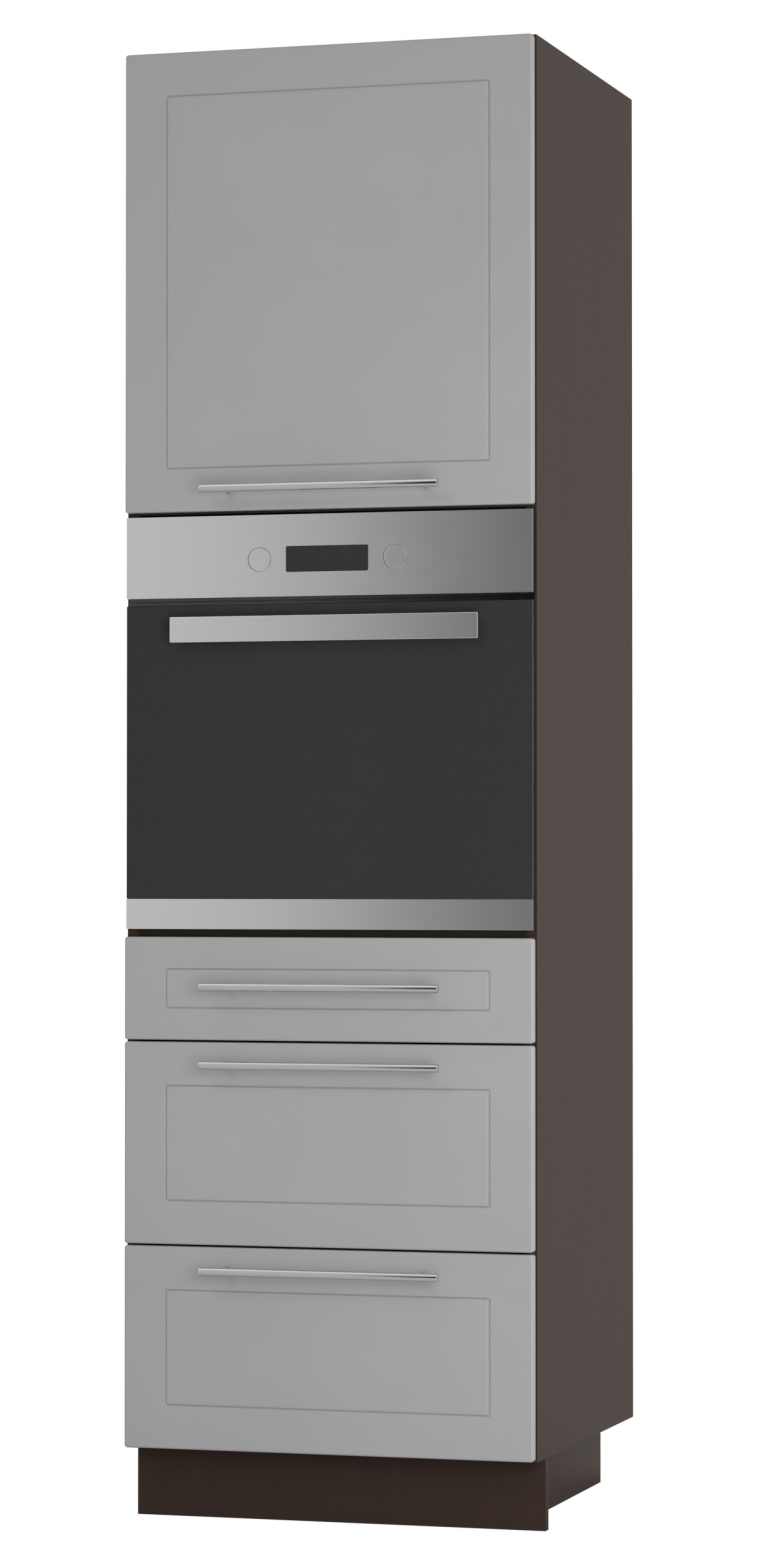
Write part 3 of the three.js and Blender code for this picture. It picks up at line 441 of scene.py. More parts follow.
def ring(bm, centre, axis, radius, along, sides):
    """A circle of vertices round a point, on a plane across the axis."""
    turn = Vector((0, 0, 1)).rotation_difference(Vector(axis)).to_matrix()
    points = []
    for i in range(sides):
        angle = 2 * math.pi * i / sides
        offset = turn @ Vector((radius * math.cos(angle), radius * math.sin(angle), along))
        points.append(bm.verts.new(Vector(centre) + offset))
    return points


def bridge(bm, first, second):
    """Faces between two loops of the same length."""
    count = len(first)
    for i in range(count):
        after = (i + 1) % count
        bm.faces.new((first[i], first[after], second[after], second[i]))


def skin(bm, loops):
    """Faces from each loop to the next, open at both ends."""
    for first, second in zip(loops, loops[1:]):
        bridge(bm, first, second)


def loft(bm, loops):
    """A skin with a face on each end."""
    skin(bm, loops)
    bm.faces.new(loops[0])
    bm.faces.new(loops[-1])


def turned(bm, centre, axis, profile, sides):
    """A turned piece: profile is a list of (radius, distance along the axis)."""
    loft(bm, [ring(bm, centre, axis, radius, along, sides) for radius, along in profile])


def eased_block(bm, low, high):
    """A block between two corners, with rounded edges. Its edges keep one order from run to run."""
    corners = bmesh.ops.create_cube(bm, size=1)["verts"]
    for vertex in corners:
        vertex.co = Vector([low[i] if vertex.co[i] < 0 else high[i] for i in range(3)])
    edges = list(dict.fromkeys(edge for vertex in corners for edge in vertex.link_edges))
    bmesh.ops.bevel(bm, geom=edges, offset=BLOCK_EASE, segments=BLOCK_SEGMENTS, profile=0.5,
                    affect="EDGES", clamp_overlap=True)


def tube_along(bm, points, radius):
    """A round bar that follows a path of points."""
    points = [Vector(point) for point in points]
    loops = []
    side = None
    for i, point in enumerate(points):
        before = points[i - 1] if i else point
        after = points[i + 1] if i < len(points) - 1 else point
        forward = (after - before).normalized()
        if side is None:
            side = forward.orthogonal().normalized()
        side = (side - forward * side.dot(forward)).normalized()
        up = forward.cross(side)
        angles = (2 * math.pi * k / TUBE_SIDES for k in range(TUBE_SIDES))
        loops.append([bm.verts.new(point + radius * (math.cos(a) * side + math.sin(a) * up))
                      for a in angles])
    loft(bm, loops)


# ---------------------------------------------------------------- fronts and handles
FRONT_ROUND = 3 * MM
FRONT_ROUND_STEPS = 10
FRONT_CORNER = 4 * MM
BACK_ROUND = 0.8 * MM
BACK_ROUND_STEPS = 3
GROOVE_INSET = 60 * MM
TOP_DRAWER_GROOVE_INSET = 43.5 * MM
GROOVE_CORNER = 3 * MM
# Across the groove: the distance from its outer edge, and the depth there.
GROOVE_PROFILE = in_mm(
    (0, 0), (0.3, 0.06), (0.55, 0.26), (0.9, 0.75), (1.5, 1.72), (1.7, 1.93), (1.9, 1.98), (2.1, 1.9),
    (2.3, 1.68), (2.9, 0.8), (3.2, 0.5), (3.6, 0.36), (4.5, 0.24), (5.3, 0.12), (5.9, 0.03), (6.2, 0))
CUP_BORE = 17.8 * MM
CUP_BORE_DEPTH = 11.8 * MM
CUP_BORE_SIDES = 48
BAR_RADIUS = 6 * MM
BAR_SIDES = 56
BAR_EASE = 0.9 * MM
BAR_EASE_STEPS = 5
POST_RADIUS = 4.8 * MM
POST_FLARE = 0.4 * MM
POST_SIDES = 32
POST_X = 144 * MM


def framed_front(node, body, groove_x, groove_z, bores=()):
    """A moulded front: eased back edge, rounded face edge, and a routed groove round a flat field."""
    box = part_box(node)
    low, high = box
    bm = bmesh.new()
    loops = []
    for sine, cosine in quarter_turn(BACK_ROUND_STEPS):
        inset = BACK_ROUND * (1 - sine)
        depth = high[1] - low[1] - BACK_ROUND * (1 - cosine)
        loops.append(plate_loop(bm, box, inset, inset, FRONT_CORNER, depth))
    for sine, cosine in quarter_turn(FRONT_ROUND_STEPS):
        inset = FRONT_ROUND * (1 - cosine)
        loops.append(plate_loop(bm, box, inset, inset, FRONT_CORNER, FRONT_ROUND * (1 - sine)))
    for across, depth in GROOVE_PROFILE:
        loops.append(plate_loop(bm, box, groove_x + across, groove_z + across, GROOVE_CORNER, depth))
    skin(bm, loops)
    bm.faces.new(loops[-1])
    rims = [loops[0]]
    for x, z in bores:
        centre = (x, high[1], z)
        mouth = ring(bm, centre, TO_BACK, CUP_BORE, 0, CUP_BORE_SIDES)
        floor = ring(bm, centre, TO_BACK, CUP_BORE, -CUP_BORE_DEPTH, CUP_BORE_SIDES)
        bridge(bm, mouth, floor)
        bm.faces.new(floor)
        rims.append(mouth)
    if bores:
        edges = []
        for rim in rims:
            for i, vertex in enumerate(rim):
                other = rim[(i + 1) % len(rim)]
                edges.append(bm.edges.get((vertex, other)) or bm.edges.new((vertex, other)))
        bmesh.ops.triangle_fill(bm, use_beauty=True, use_dissolve=False, edges=edges, normal=TO_BACK)
    else:
        bm.faces.new(loops[0])
    piece = piece_from(f"{node}_look", bm, body, LOOKS["front_foil"])
    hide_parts(node)


def bar_handle(node, body, face):
    """A round bar with eased ends on two posts that reach back to the front's face."""
    low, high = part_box(node)
    centre_y, centre_z = low[1] + BAR_RADIUS, (low[2] + high[2]) / 2
    length = high[0] - low[0]
    end = [(BAR_RADIUS - BAR_EASE * (1 - sine), BAR_EASE * (1 - cosine))
           for sine, cosine in quarter_turn(BAR_EASE_STEPS)]
    profile = end + [(radius, length - along) for radius, along in reversed(end)]
    bm = bmesh.new()
    turned(bm, (low[0], centre_y, centre_z), TO_RIGHT, profile, BAR_SIDES)
    reach = face - centre_y
    post = [(POST_RADIUS, 0), (POST_RADIUS, reach - 0.6 * MM),
            (POST_RADIUS + POST_FLARE, reach - 0.1 * MM)]
    for x in (-POST_X, POST_X):
        turned(bm, (x, centre_y, centre_z), TO_BACK, post, POST_SIDES)
    piece = piece_from(f"{node}_look", bm, body, LOOKS["handle_chrome"])
    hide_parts(node)


def add_fronts():
    low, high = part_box("flap_hinge_cup_left")
    cup_x, cup_z = (low[0] + high[0]) / 2, (low[2] + high[2]) / 2
    framed_front("flap_door", "flap", GROOVE_INSET, GROOVE_INSET, ((cup_x, cup_z), (-cup_x, cup_z)))
    framed_front("drawer_1_front", "drawer_1", GROOVE_INSET, TOP_DRAWER_GROOVE_INSET)
    framed_front("drawer_2_front", "drawer_2", GROOVE_INSET, GROOVE_INSET)
    framed_front("drawer_3_front", "drawer_3", GROOVE_INSET, GROOVE_INSET)
    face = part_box("flap_door")[0][1]
    bar_handle("flap_handle", "flap", face)
    for number in (1, 2, 3):
        bar_handle(f"drawer_{number}_handle", f"drawer_{number}", face)


# ---------------------------------------------------------------- oven front
PLATE_EASE = 0.9 * MM
PLATE_EASE_STEPS = 6
OVEN_HANDLE_THICKNESS = 6 * MM
OVEN_HANDLE_CORNER = 1.6 * MM
OVEN_POST_INSET = 30 * MM
OVEN_POST_SIDES = 40
OVEN_POST_START = (8 * MM, -0.5 * MM)
# Radius and distance from the glass, at the glass end of the handle's post.
OVEN_POST_END = in_mm((8, 1.4), (7.2, 1.2), (7.2, 0.8), (8, 0.7), (8, 0))
GLASS_CORNER = 1.2 * MM
GLASS_BACK_EASE = 0.3 * MM
KNOB_SIDES = 72
KNOB_RIM = 1.3 * MM
KNOB_RIM_STEPS = 8
KNOB_FACE_EDGE = 0.5 * MM
KNOB_WAIST = 0.35 * MM
KNOB_WALL = 2 * MM
KNOB_FLOOR = 2.5 * MM
KNOB_HUB = 6 * MM
KNOB_BORE = 3.3 * MM
KNOB_MIDDLE = 0.1 * MM


def oven_handle():
    """A flat bar with eased edges on two posts with a shadow groove before the glass."""
    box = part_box("oven_door_handle")
    low, high = box
    rear = low[1] + OVEN_HANDLE_THICKNESS
    bm = bmesh.new()
    loops = []
    for sine, cosine in quarter_turn(PLATE_EASE_STEPS):
        inset = PLATE_EASE * (1 - sine)
        loops.append(plate_loop(bm, box, inset, inset, OVEN_HANDLE_CORNER, PLATE_EASE * (1 - cosine)))
    for sine, cosine in quarter_turn(PLATE_EASE_STEPS):
        inset = PLATE_EASE * (1 - cosine)
        depth = OVEN_HANDLE_THICKNESS - PLATE_EASE * (1 - sine)
        loops.append(plate_loop(bm, box, inset, inset, OVEN_HANDLE_CORNER, depth))
    loft(bm, loops)
    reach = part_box("oven_door_glass")[0][1] - rear
    post = [OVEN_POST_START] + [(radius, reach - gap) for radius, gap in OVEN_POST_END]
    for x in (low[0] + OVEN_POST_INSET, high[0] - OVEN_POST_INSET):
        turned(bm, (x, rear, (low[2] + high[2]) / 2), TO_BACK, post, OVEN_POST_SIDES)
    piece = piece_from("oven_door_handle_look", bm, "oven_door", LOOKS["brushed_steel"])
    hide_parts("oven_door_handle")


def knob_cap(side_name):
    """A hollow knob: rounded rim, a groove round its side, and a bored hub inside."""
    node = f"knob_cap_{side_name}"
    low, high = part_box(node)
    x, z = (low[0] + high[0]) / 2, (low[2] + high[2]) / 2
    radius = (high[0] - low[0]) / 2
    length = high[1] - low[1]
    profile = [(KNOB_MIDDLE, 0), (radius - KNOB_RIM - KNOB_FACE_EDGE, 0)]
    profile += [(radius - KNOB_RIM * (1 - sine), KNOB_RIM * (1 - cosine))
                for sine, cosine in quarter_turn(KNOB_RIM_STEPS)]
    profile += [(radius, 6 * MM), (radius - KNOB_WAIST, 6.3 * MM), (radius - KNOB_WAIST, 7.2 * MM),
                (radius, 7.5 * MM), (radius, length), (radius - KNOB_WALL, length),
                (radius - KNOB_WALL, KNOB_FLOOR), (KNOB_HUB, KNOB_FLOOR), (KNOB_HUB, length),
                (KNOB_BORE, length), (KNOB_BORE, KNOB_FLOOR), (KNOB_MIDDLE, KNOB_FLOOR)]
    bm = bmesh.new()
    turned(bm, (x, low[1], z), TO_BACK, profile, KNOB_SIDES)
    piece = piece_from(f"{node}_look", bm, f"knob_cap_{side_name}", LOOKS["knob_steel"])
    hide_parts(node)


def door_glass():
    """A glass plate with a rounded face edge and a fine back edge."""
    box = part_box("oven_door_glass")
    thickness = box[1][1] - box[0][1]
    bm = bmesh.new()
    loops = []
    for sine, cosine in quarter_turn(PLATE_EASE_STEPS):
        inset = PLATE_EASE * (1 - sine)
        loops.append(plate_loop(bm, box, inset, inset, GLASS_CORNER, PLATE_EASE * (1 - cosine)))
    loops.append(plate_loop(bm, box, 0, 0, GLASS_CORNER, thickness - GLASS_BACK_EASE))
    loops.append(plate_loop(bm, box, GLASS_BACK_EASE, GLASS_BACK_EASE, GLASS_CORNER, thickness))
    loft(bm, loops)
    piece = piece_from("oven_door_glass_look", bm, "oven_door", LOOKS["door_glass"])
    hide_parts("oven_door_glass")


def add_oven_front():
    oven_handle()
    knob_cap("left")
    knob_cap("right")
    door_glass()


# ---------------------------------------------------------------- stage and light
FLOOR_HALF = 60.0
BACKDROP_FROM_Y = 0.4
FLOOR_COLOUR = (0.72, 0.72, 0.72, 1)
FLOOR_ROUGHNESS = 0.9
WORLD_LEVEL = 0.465
REFLECTED_LEVEL = 1.0
CARD_PLACE_Y = -3.27
CARD_LEFT = -3.4
CARD_RIGHT = 0.5
CARD_FOOT = 0.001
CARD_HEIGHT = 4.6
CARD_FADE = (-0.92, -0.70)
CARD_LEVEL = 0.64
CARD_DARK = 0.03
# Name, place, the point it faces, size and power.
LIGHTS = (
    ("key", (-0.8, -3.4, 3.1), (0, -0.2, 0.9), 0.8, 18),
    ("fill", (1.5, -2.8, 0.7), (0, -0.2, 0.6), 2.0, 77),
    ("side", (3.4, 0.0, 1.1), (0.3, 0.0, 1.0), 2.0, 52),
)


def white_glow(tree):
    node = tree.nodes.new("ShaderNodeEmission")
    node.inputs["Color"].default_value = WHITE
    node.inputs["Strength"].default_value = 1.0
    return node


def mix_into(tree, factor, first, second, output):
    """The output's surface is a mix of two shaders."""
    mix = tree.nodes.new("ShaderNodeMixShader")
    tree.links.new(factor, mix.inputs[0])
    tree.links.new(first, mix.inputs[1])
    tree.links.new(second, mix.inputs[2])
    tree.links.new(mix.outputs["Shader"], tree.nodes[output].inputs["Surface"])


def make_floor():
    """A pale floor. The camera sees it pure white, and so do reflections of its part behind the unit."""
    bm = bmesh.new()
    bmesh.ops.create_grid(bm, x_segments=1, y_segments=1, size=FLOOR_HALF)
    floor = object_from("floor", bm)
    material = new_material("floor")
    tree = material.node_tree
    shader = tree.nodes["Principled BSDF"]
    shader.inputs["Base Color"].default_value = FLOOR_COLOUR
    shader.inputs["Roughness"].default_value = FLOOR_ROUGHNESS
    shader.inputs["Specular IOR Level"].default_value = 0.0
    ray = tree.nodes.new("ShaderNodeLightPath")
    behind = math_node(tree, "GREATER_THAN", split_axes(tree, "Object")["Y"], BACKDROP_FROM_Y)
    mirrored = math_node(tree, "MULTIPLY", behind, ray.outputs["Is Glossy Ray"])
    white = math_node(tree, "MAXIMUM", mirrored, ray.outputs["Is Camera Ray"])
    mix_into(tree, white, shader.outputs["BSDF"], white_glow(tree).outputs["Emission"], "Material Output")
    floor.data.materials.append(material)


def make_world():
    """An even light, seen white by the camera and in reflections and through glass."""
    world = bpy.data.worlds.new("studio")
    scene.world = world
    world.use_nodes = True
    tree = world.node_tree
    light = tree.nodes["Background"]
    light.inputs["Color"].default_value = WHITE
    light.inputs["Strength"].default_value = WORLD_LEVEL
    shown = tree.nodes.new("ShaderNodeBackground")
    shown.inputs["Color"].default_value = WHITE
    shown.inputs["Strength"].default_value = REFLECTED_LEVEL
    ray = tree.nodes.new("ShaderNodeLightPath")
    either = math_node(tree, "MAXIMUM", ray.outputs["Is Camera Ray"], ray.outputs["Is Glossy Ray"])
    any_ray = math_node(tree, "MAXIMUM", either, ray.outputs["Is Transmission Ray"])
    mix_into(tree, any_ray, light.outputs["Background"], shown.outputs["Background"], "World Output")


def make_reflection_card():
    """A shaded studio card, in front of the unit and left of the camera, that only reflections see."""
    bm = bmesh.new()
    corners = [(CARD_LEFT, CARD_FOOT), (CARD_RIGHT, CARD_FOOT),
               (CARD_RIGHT, CARD_HEIGHT), (CARD_LEFT, CARD_HEIGHT)]
    bm.faces.new([bm.verts.new((x, CARD_PLACE_Y, z)) for x, z in corners])
    card = object_from("card", bm)
    material = new_material("card")
    tree = material.node_tree
    glow = white_glow(tree)
    across = split_axes(tree, "Object")["X"]
    fade = map_range(tree, across, CARD_FADE, (CARD_LEVEL, CARD_DARK), "SMOOTHSTEP")
    tree.links.new(fade, glow.inputs["Strength"])
    tree.links.new(glow.outputs["Emission"], tree.nodes["Material Output"].inputs["Surface"])
    card.data.materials.append(material)
    card.visible_camera = False
    card.visible_diffuse = False
    card.visible_shadow = False
    card.visible_transmission = False


def area_light(name, place, target, size, power):
    """A square light that neither the camera nor reflections see."""
    data = bpy.data.lights.new(name, "AREA")
    data.shape = "SQUARE"
    data.size = size
    data.energy = power
    lamp = bpy.data.objects.new(name, data)
    lamp.location = place
    lamp.rotation_euler = (Vector(target) - Vector(place)).to_track_quat("-Z", "Y").to_euler()
    lamp.visible_glossy = False
    lamp.visible_camera = False
    scene.collection.objects.link(lamp)


def make_stage():
    scene.view_settings.view_transform = "Standard"
    make_floor()
    make_world()
    make_reflection_card()
    for light in LIGHTS:
        area_light(*light)


# ---------------------------------------------------------------- screws
SCREW_SIDES = 20
# Shares of the head's radius and height, from the rim to the bottom of the socket.
SCREW_PROFILE = ((1, 0), (1, 0.35), (0.86, 0.8), (0.6, 1), (0.42, 1), (0.36, 0.4), (0.05, 0.4))


def screws(name, places, axis, body, radius=3.2 * MM, head=1.1 * MM):
    """Pan-head screws with a socket, one mesh for a row of them."""
    bm = bmesh.new()
    profile = [(radius * across, head * along) for across, along in SCREW_PROFILE]
    for place in places:
        turned(bm, place, axis, profile, SCREW_SIDES)
    return piece_from(name, bm, body, LOOKS["screw"])


# ---------------------------------------------------------------- cupboard fittings
PANEL_INNER_X = 284 * MM
CUP_SCREW_X = 21.8 * MM
ARM_SCREW_X = 17 * MM
ARM_SCREW_Y = 40 * MM
ARM_PLATE = 2 * MM
STRUT_EYE_Y = -245.5 * MM
STRUT_EYE_Z = 2030 * MM
BRACKET_X = 272 * MM
BRACKET_HALF_WIDTH = 9 * MM
BRACKET_HALF_HEIGHT = 22 * MM
BRACKET_THICKNESS = 1.6 * MM
BRACKET_SCREW_X = 270 * MM
BRACKET_SCREW_Z = 15 * MM
WEB_NEAR_X = 278.9 * MM
WEB_FAR_X = 280.6 * MM
WEB_START = 0.5 * MM
WEB_PAST_EYE = 5 * MM
WEB_HALF_HEIGHT = 9 * MM
STUD_PROFILE = in_mm((2.2, 0), (2.2, 15.6), (3.4, 15.7), (3.2, 16.6), (1, 17))
ANCHOR_Y = -89.5 * MM
ANCHOR_Z = 1990 * MM
ANCHOR_PROFILE = in_mm((7.4, 0), (7.4, 2), (12.6, 2), (13.2, 1.4), (13.2, 0))
ANCHOR_SIDES = 40
BUFFER_X = 292 * MM
BUFFER_RISE = 6 * MM
BUFFER_PROFILE = in_mm((4, 0), (4, 0.9), (3.2, 1.5), (1.2, 1.7))
PIN_INSET_Y = 45 * MM
PIN_RADIUS = 2.5 * MM
PIN_PROFILE = in_mm((2.5, -4), (2.5, 0), (4.4, 0.01), (4.4, 0.9), (2.5, 1), (2.5, 7.4), (1.9, 8))
CAP_FROM_BOARD = 14 * MM
CAP_PLACES_Y = (-215 * MM, 262 * MM)
CAP_PROFILE = in_mm((6, 0), (5.8, 0.5), (5, 0.9), (0.5, 1))
SMALL_SIDES = 24
CAP_SIDES = 28


def strut_bracket(side_name, side, door_back):
    """A plate on the flap with a web that holds the stud through the strut rod's eye."""
    bm = bmesh.new()
    plate_x = side_span(side, BRACKET_X - BRACKET_HALF_WIDTH, BRACKET_X + BRACKET_HALF_WIDTH)
    eased_block(bm, (plate_x[0], door_back, STRUT_EYE_Z - BRACKET_HALF_HEIGHT),
                (plate_x[1], door_back + BRACKET_THICKNESS, STRUT_EYE_Z + BRACKET_HALF_HEIGHT))
    web_x = side_span(side, WEB_NEAR_X, WEB_FAR_X)
    eased_block(bm, (web_x[0], door_back + WEB_START, STRUT_EYE_Z - WEB_HALF_HEIGHT),
                (web_x[1], STRUT_EYE_Y + WEB_PAST_EYE, STRUT_EYE_Z + WEB_HALF_HEIGHT))
    turned(bm, (side * WEB_FAR_X, STRUT_EYE_Y, STRUT_EYE_Z), (-side, 0, 0), STUD_PROFILE, SMALL_SIDES)
    piece_from(f"strut_bracket_{side_name}", bm, "flap", LOOKS["zinc"])
    places = [(side * BRACKET_SCREW_X, door_back + BRACKET_THICKNESS, STRUT_EYE_Z + dz)
              for dz in (-BRACKET_SCREW_Z, BRACKET_SCREW_Z)]
    screws(f"bracket_screws_{side_name}", places, TO_BACK, "flap", 2.8 * MM, 0.9 * MM)


def strut_anchor(side_name, side):
    """A ring on the side panel round the strut tube's pivot."""
    bm = bmesh.new()
    pivot = (side * PANEL_INNER_X, ANCHOR_Y, ANCHOR_Z)
    loops = [ring(bm, pivot, (-side, 0, 0), radius, along, ANCHOR_SIDES)
             for radius, along in ANCHOR_PROFILE]
    skin(bm, loops + loops[:1])
    piece_from(f"strut_anchor_{side_name}", bm, "root", LOOKS["zinc"])


def add_flap_fittings():
    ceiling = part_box("top_panel")[0][2]
    door_low, door_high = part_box("flap_door")
    door_back = door_high[1]
    for side_name, side in SIDES:
        low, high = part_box(f"flap_hinge_cup_{side_name}")
        centre_x, centre_z = (low[0] + high[0]) / 2, (low[2] + high[2]) / 2
        places = [(centre_x + dx, high[1], centre_z) for dx in (-CUP_SCREW_X, CUP_SCREW_X)]
        screws(f"cup_screws_{side_name}", places, TO_BACK, "flap")
        plate_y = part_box(f"flap_hinge_arm_{side_name}")[0][1] + ARM_SCREW_Y
        places = [(centre_x + dx, plate_y, ceiling - ARM_PLATE) for dx in (-ARM_SCREW_X, ARM_SCREW_X)]
        screws(f"arm_screws_{side_name}", places, DOWN, "root", 3.6 * MM)
        strut_bracket(side_name, side, door_back)
        strut_anchor(side_name, side)
    bm = bmesh.new()
    for x in (-BUFFER_X, BUFFER_X):
        turned(bm, (x, door_back, door_low[2] + BUFFER_RISE), TO_BACK, BUFFER_PROFILE, SMALL_SIDES)
    piece_from("flap_buffers", bm, "flap", LOOKS["rubber"])


def add_shelf_pins():
    low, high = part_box("cupboard_shelf")
    bm = bmesh.new()
    for side in (-1, 1):
        for y in (low[1] + PIN_INSET_Y, high[1] - PIN_INSET_Y):
            place = (side * PANEL_INNER_X, y, low[2] - PIN_RADIUS)
            turned(bm, place, (-side, 0, 0), PIN_PROFILE, SMALL_SIDES)
    piece_from("shelf_pins", bm, "root", LOOKS["zinc"])


def add_cover_caps():
    """Caps over the carcase screws, on the inner faces of the side panels."""
    bm = bmesh.new()
    heights = (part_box("top_panel")[0][2] - CAP_FROM_BOARD,
               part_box("cupboard_floor")[1][2] + CAP_FROM_BOARD)
    for side in (-1, 1):
        for y in CAP_PLACES_Y:
            for z in heights:
                turned(bm, (side * PANEL_INNER_X, y, z), (-side, 0, 0), CAP_PROFILE, CAP_SIDES)
    piece_from("cover_caps", bm, "root", LOOKS["cap_brown"])


# ---------------------------------------------------------------- drawer fittings
# Angle brackets behind each front: a foot on the front and an arm along the drawer side.
ANGLE_OVER_BOTTOM = 4 * MM
ANGLE_UNDER_TOP = 14 * MM
FOOT_INSETS = (1 * MM, 21 * MM)
FOOT_THICKNESS = 1.4 * MM
FOOT_SCREW_INSET = 12 * MM
FOOT_SCREW_EDGE = 9 * MM
ARM_INSETS = (0.2 * MM, 1.5 * MM)
ARM_REACH = 38 * MM
RUNNER_SCREW_X = 282.8 * MM
RUNNER_SCREW_RISE = 11 * MM
RUNNER_SCREW_SHARES = (0.09, 0.52, 0.93)


def add_drawer_fittings():
    for number in (1, 2, 3):
        body = f"drawer_{number}"
        bottom_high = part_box(f"{body}_bottom")[1]
        half_width = bottom_high[0]
        front_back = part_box(f"{body}_front")[1][1]
        base = bottom_high[2] + ANGLE_OVER_BOTTOM
        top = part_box(f"{body}_side_left")[1][2] - ANGLE_UNDER_TOP
        bm = bmesh.new()
        points = []
        for side in (-1, 1):
            foot = side_span(side, *(half_width - inset for inset in FOOT_INSETS))
            eased_block(bm, (foot[0], front_back, base), (foot[1], front_back + FOOT_THICKNESS, top))
            arm = side_span(side, *(half_width - inset for inset in ARM_INSETS))
            eased_block(bm, (arm[0], front_back, base), (arm[1], front_back + ARM_REACH, top))
            points += [(side * (half_width - FOOT_SCREW_INSET), front_back + FOOT_THICKNESS, z)
                       for z in (base + FOOT_SCREW_EDGE, top - FOOT_SCREW_EDGE)]
        piece_from(f"{body}_front_brackets", bm, body, LOOKS["drawer_steel"])
        screws(f"{body}_bracket_screws", points, TO_BACK, body)
        low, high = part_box(f"{body}_runner_left")
        depths = [low[1] + share * (high[1] - low[1]) for share in RUNNER_SCREW_SHARES]
        for side_name, side in SIDES:
            places = [(side * RUNNER_SCREW_X, y, low[2] + RUNNER_SCREW_RISE) for y in depths]
            screws(f"{body}_runner_screws_{side_name}", places, (-side, 0, 0), "root", 3 * MM, 0.9 * MM)


# ---------------------------------------------------------------- oven fittings
MOUTH_HALF = 235 * MM
MOUTH_LOW = 885 * MM
MOUTH_HIGH = 1245 * MM
MOUTH_MIDDLE = (MOUTH_LOW + MOUTH_HIGH) / 2
MOUTH_CORNER = 10 * MM
FRAME_FRONT = -223.5 * MM
CAVITY_REAR = 181.5 * MM
# Across the door gasket: the distance outside the mouth, and the step from the cavity's frame.
GASKET_SECTION = in_mm((10, 0), (9.6, -1.0), (7.5, -1.5), (5.2, -1.1), (4, -1.4), (3, -0.9), (2.6, 0))
FAN_DROP = 12 * MM
FAN_RIM = in_mm((98, 0), (98, 9), (95, 12), (72, 13))
FAN_HUB = in_mm((9, 13), (7, 14.5), (1, 15))
FAN_RIDGES = 7
FAN_FIRST_RIDGE = 70
FAN_RIDGE_STEP = 8.5
FAN_SIDES = 96
FAN_SHARP_DEGREES = 40
GRILL_ROWS = (-150, -90, -30, 30, 90, 150)
GRILL_BEND = 30
GRILL_BEND_STEPS = 8
GRILL_DROP = 20 * MM
GRILL_END_GAP = 60 * MM
GRILL_RADIUS = 3.3 * MM
LAMP_X = 170 * MM
LAMP_DROP = 62 * MM
LAMP_SIDES = 56
LAMP_RING_PROFILE = in_mm((29, 0), (29, 3), (27, 5), (25.5, 5), (25, 4))
LENS_START = 3.5 * MM
LENS_PROFILE = in_mm((25.2, 0), (24, 3), (19, 6.5), (10, 8.6), (0.5, 9.2))
FRAME_SCREW_X = 262 * MM
FRAME_SCREW_HEIGHTS = (930 * MM, 1210 * MM)
CASING_REAR = 280.5 * MM
CASING_SCREW_INSET_X = 14 * MM
CASING_SCREW_INSET_Z = 12 * MM
TERMINAL_SCREWS_X = (190 * MM, 246 * MM)
TERMINAL_SCREW_RISE = 65 * MM
# Across the air slot bar: millimetres in front of its back, and the share of its height.
SLOT_SECTION = ((0, 0), (0.7, 0), (0.7, 0.38), (0.4, 0.44), (0.4, 0.56), (0.7, 0.62), (0.7, 1), (0, 1))
SLOT_GAP_BACK = 0.2 * MM
SLOT_GAP_DOOR = 0.8 * MM
SLOT_GAP_PANEL = 0.1 * MM
SLOT_GAP_END = 0.3 * MM


def add_gasket():
    half_height = (MOUTH_HIGH - MOUTH_LOW) / 2
    bm = bmesh.new()
    loops = [rounded_loop(bm, MOUTH_HALF + grow, half_height + grow, MOUTH_CORNER + grow,
                          FRAME_FRONT + step, 0, MOUTH_MIDDLE) for grow, step in GASKET_SECTION]
    skin(bm, loops + loops[:1])
    piece_from("door_gasket", bm, "root", LOOKS["rubber"])


def add_fan_cover():
    """A domed cover with round ridges on the cavity's rear wall."""
    profile = list(FAN_RIM)
    for ridge in range(FAN_RIDGES):
        radius = FAN_FIRST_RIDGE - ridge * FAN_RIDGE_STEP
        profile += in_mm((radius, 13), (radius - 1, 10.5), (radius - 4.5, 10.5), (radius - 5.5, 13))
    profile += FAN_HUB
    bm = bmesh.new()
    turned(bm, (0, CAVITY_REAR, MOUTH_MIDDLE - FAN_DROP), TO_FRONT, profile, FAN_SIDES)
    piece_from("fan_cover", bm, "root", LOOKS["enamel"], FAN_SHARP_DEGREES)


def add_grill_element():
    """A round bar that runs to and fro under the cavity's ceiling, with half-round bends."""
    height = MOUTH_HIGH - GRILL_DROP
    front, rear = FRAME_FRONT + GRILL_END_GAP, CAVITY_REAR - GRILL_END_GAP
    path = [(GRILL_ROWS[0] * MM, CAVITY_REAR, height)]
    for i, row in enumerate(GRILL_ROWS):
        heading_out = i % 2 == 0
        start, end = (rear, front) if heading_out else (front, rear)
        path += [(row * MM, start, height), (row * MM, end, height)]
        if i + 1 < len(GRILL_ROWS):
            middle = (row + GRILL_ROWS[i + 1]) / 2
            bulge = -GRILL_BEND if heading_out else GRILL_BEND
            for step in range(1, GRILL_BEND_STEPS):
                angle = math.pi * step / GRILL_BEND_STEPS
                x = (middle - GRILL_BEND * math.cos(angle)) * MM
                path.append((x, end + bulge * MM * math.sin(angle), height))
    path.append((GRILL_ROWS[-1] * MM, CAVITY_REAR, height))
    bm = bmesh.new()
    tube_along(bm, path, GRILL_RADIUS)
    piece_from("grill_element", bm, "root", LOOKS["heater"], SOFT_SHARP_DEGREES)


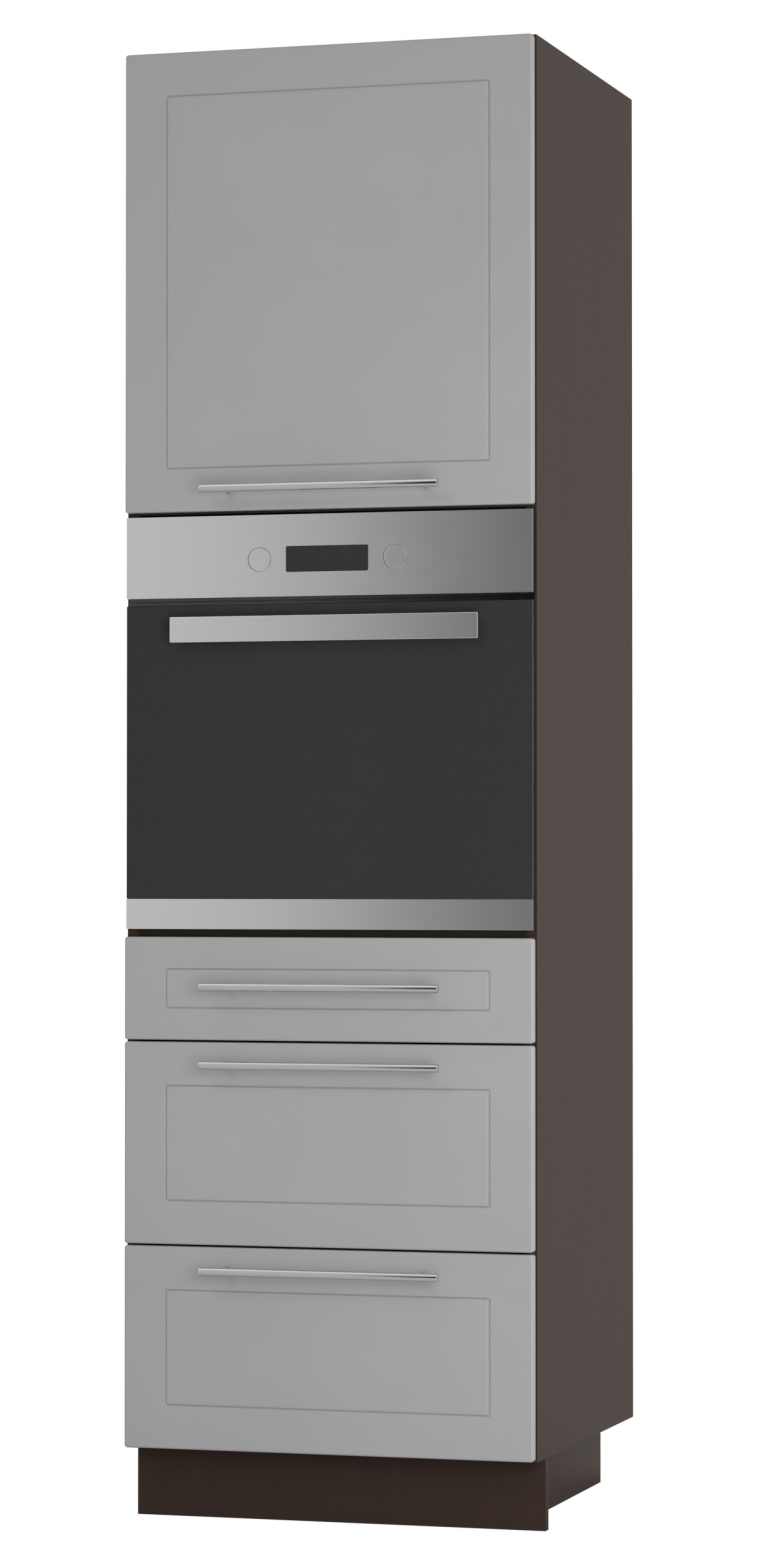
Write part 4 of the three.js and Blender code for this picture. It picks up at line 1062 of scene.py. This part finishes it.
def add_lamp():
    height = MOUTH_HIGH - LAMP_DROP
    bm = bmesh.new()
    turned(bm, (LAMP_X, CAVITY_REAR, height), TO_FRONT, LAMP_RING_PROFILE, LAMP_SIDES)
    piece_from("lamp_ring", bm, "root", LOOKS["rod_chrome"])
    bm = bmesh.new()
    turned(bm, (LAMP_X, CAVITY_REAR - LENS_START, height), TO_FRONT, LENS_PROFILE, LAMP_SIDES)
    piece_from("lamp_lens", bm, "root", LOOKS["lens"], SOFT_SHARP_DEGREES)


def add_frame_screws():
    places = [(x, FRAME_FRONT, z) for x in (-FRAME_SCREW_X, FRAME_SCREW_X) for z in FRAME_SCREW_HEIGHTS]
    screws("frame_screws", places, TO_FRONT, "root", 3.4 * MM, 1.0 * MM)


def add_air_slot():
    """The black louvre between the control panel and the door, in front of the casing and the boards."""
    panel_low, door_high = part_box("oven_control_panel")[0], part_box("oven_door_frame")[1]
    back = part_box("oven_shelf")[0][1] - SLOT_GAP_BACK
    bottom, top = door_high[2] + SLOT_GAP_DOOR, panel_low[2] - SLOT_GAP_PANEL
    bm = bmesh.new()
    loft(bm, [[bm.verts.new((x, back - out * MM, bottom + share * (top - bottom)))
               for out, share in SLOT_SECTION]
              for x in (panel_low[0] + SLOT_GAP_END, -panel_low[0] - SLOT_GAP_END)])
    piece_from("air_slot", bm, "root", LOOKS["slot_black"])


def add_casing_screws():
    low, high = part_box("oven_casing")
    columns = (low[0] + CASING_SCREW_INSET_X, 0, high[0] - CASING_SCREW_INSET_X)
    rows = (low[2] + CASING_SCREW_INSET_Z, high[2] - CASING_SCREW_INSET_Z)
    places = [(x, CASING_REAR, z) for x in columns for z in rows]
    screws("casing_screws", places, TO_BACK, "root", 4 * MM, 1.6 * MM)
    places = [(x, high[1], low[2] + TERMINAL_SCREW_RISE) for x in TERMINAL_SCREWS_X]
    screws("terminal_screws", places, TO_BACK, "root", 2.8 * MM, 1.2 * MM)


def add_fittings():
    add_flap_fittings()
    add_shelf_pins()
    add_drawer_fittings()
    add_gasket()
    add_fan_cover()
    add_grill_element()
    add_lamp()
    add_frame_screws()
    add_air_slot()
    add_casing_screws()
    add_cover_caps()


# ---------------------------------------------------------------- build
make_camera()
make_stage()
dress_cad_nodes()
add_fronts()
add_oven_front()
add_fittings()
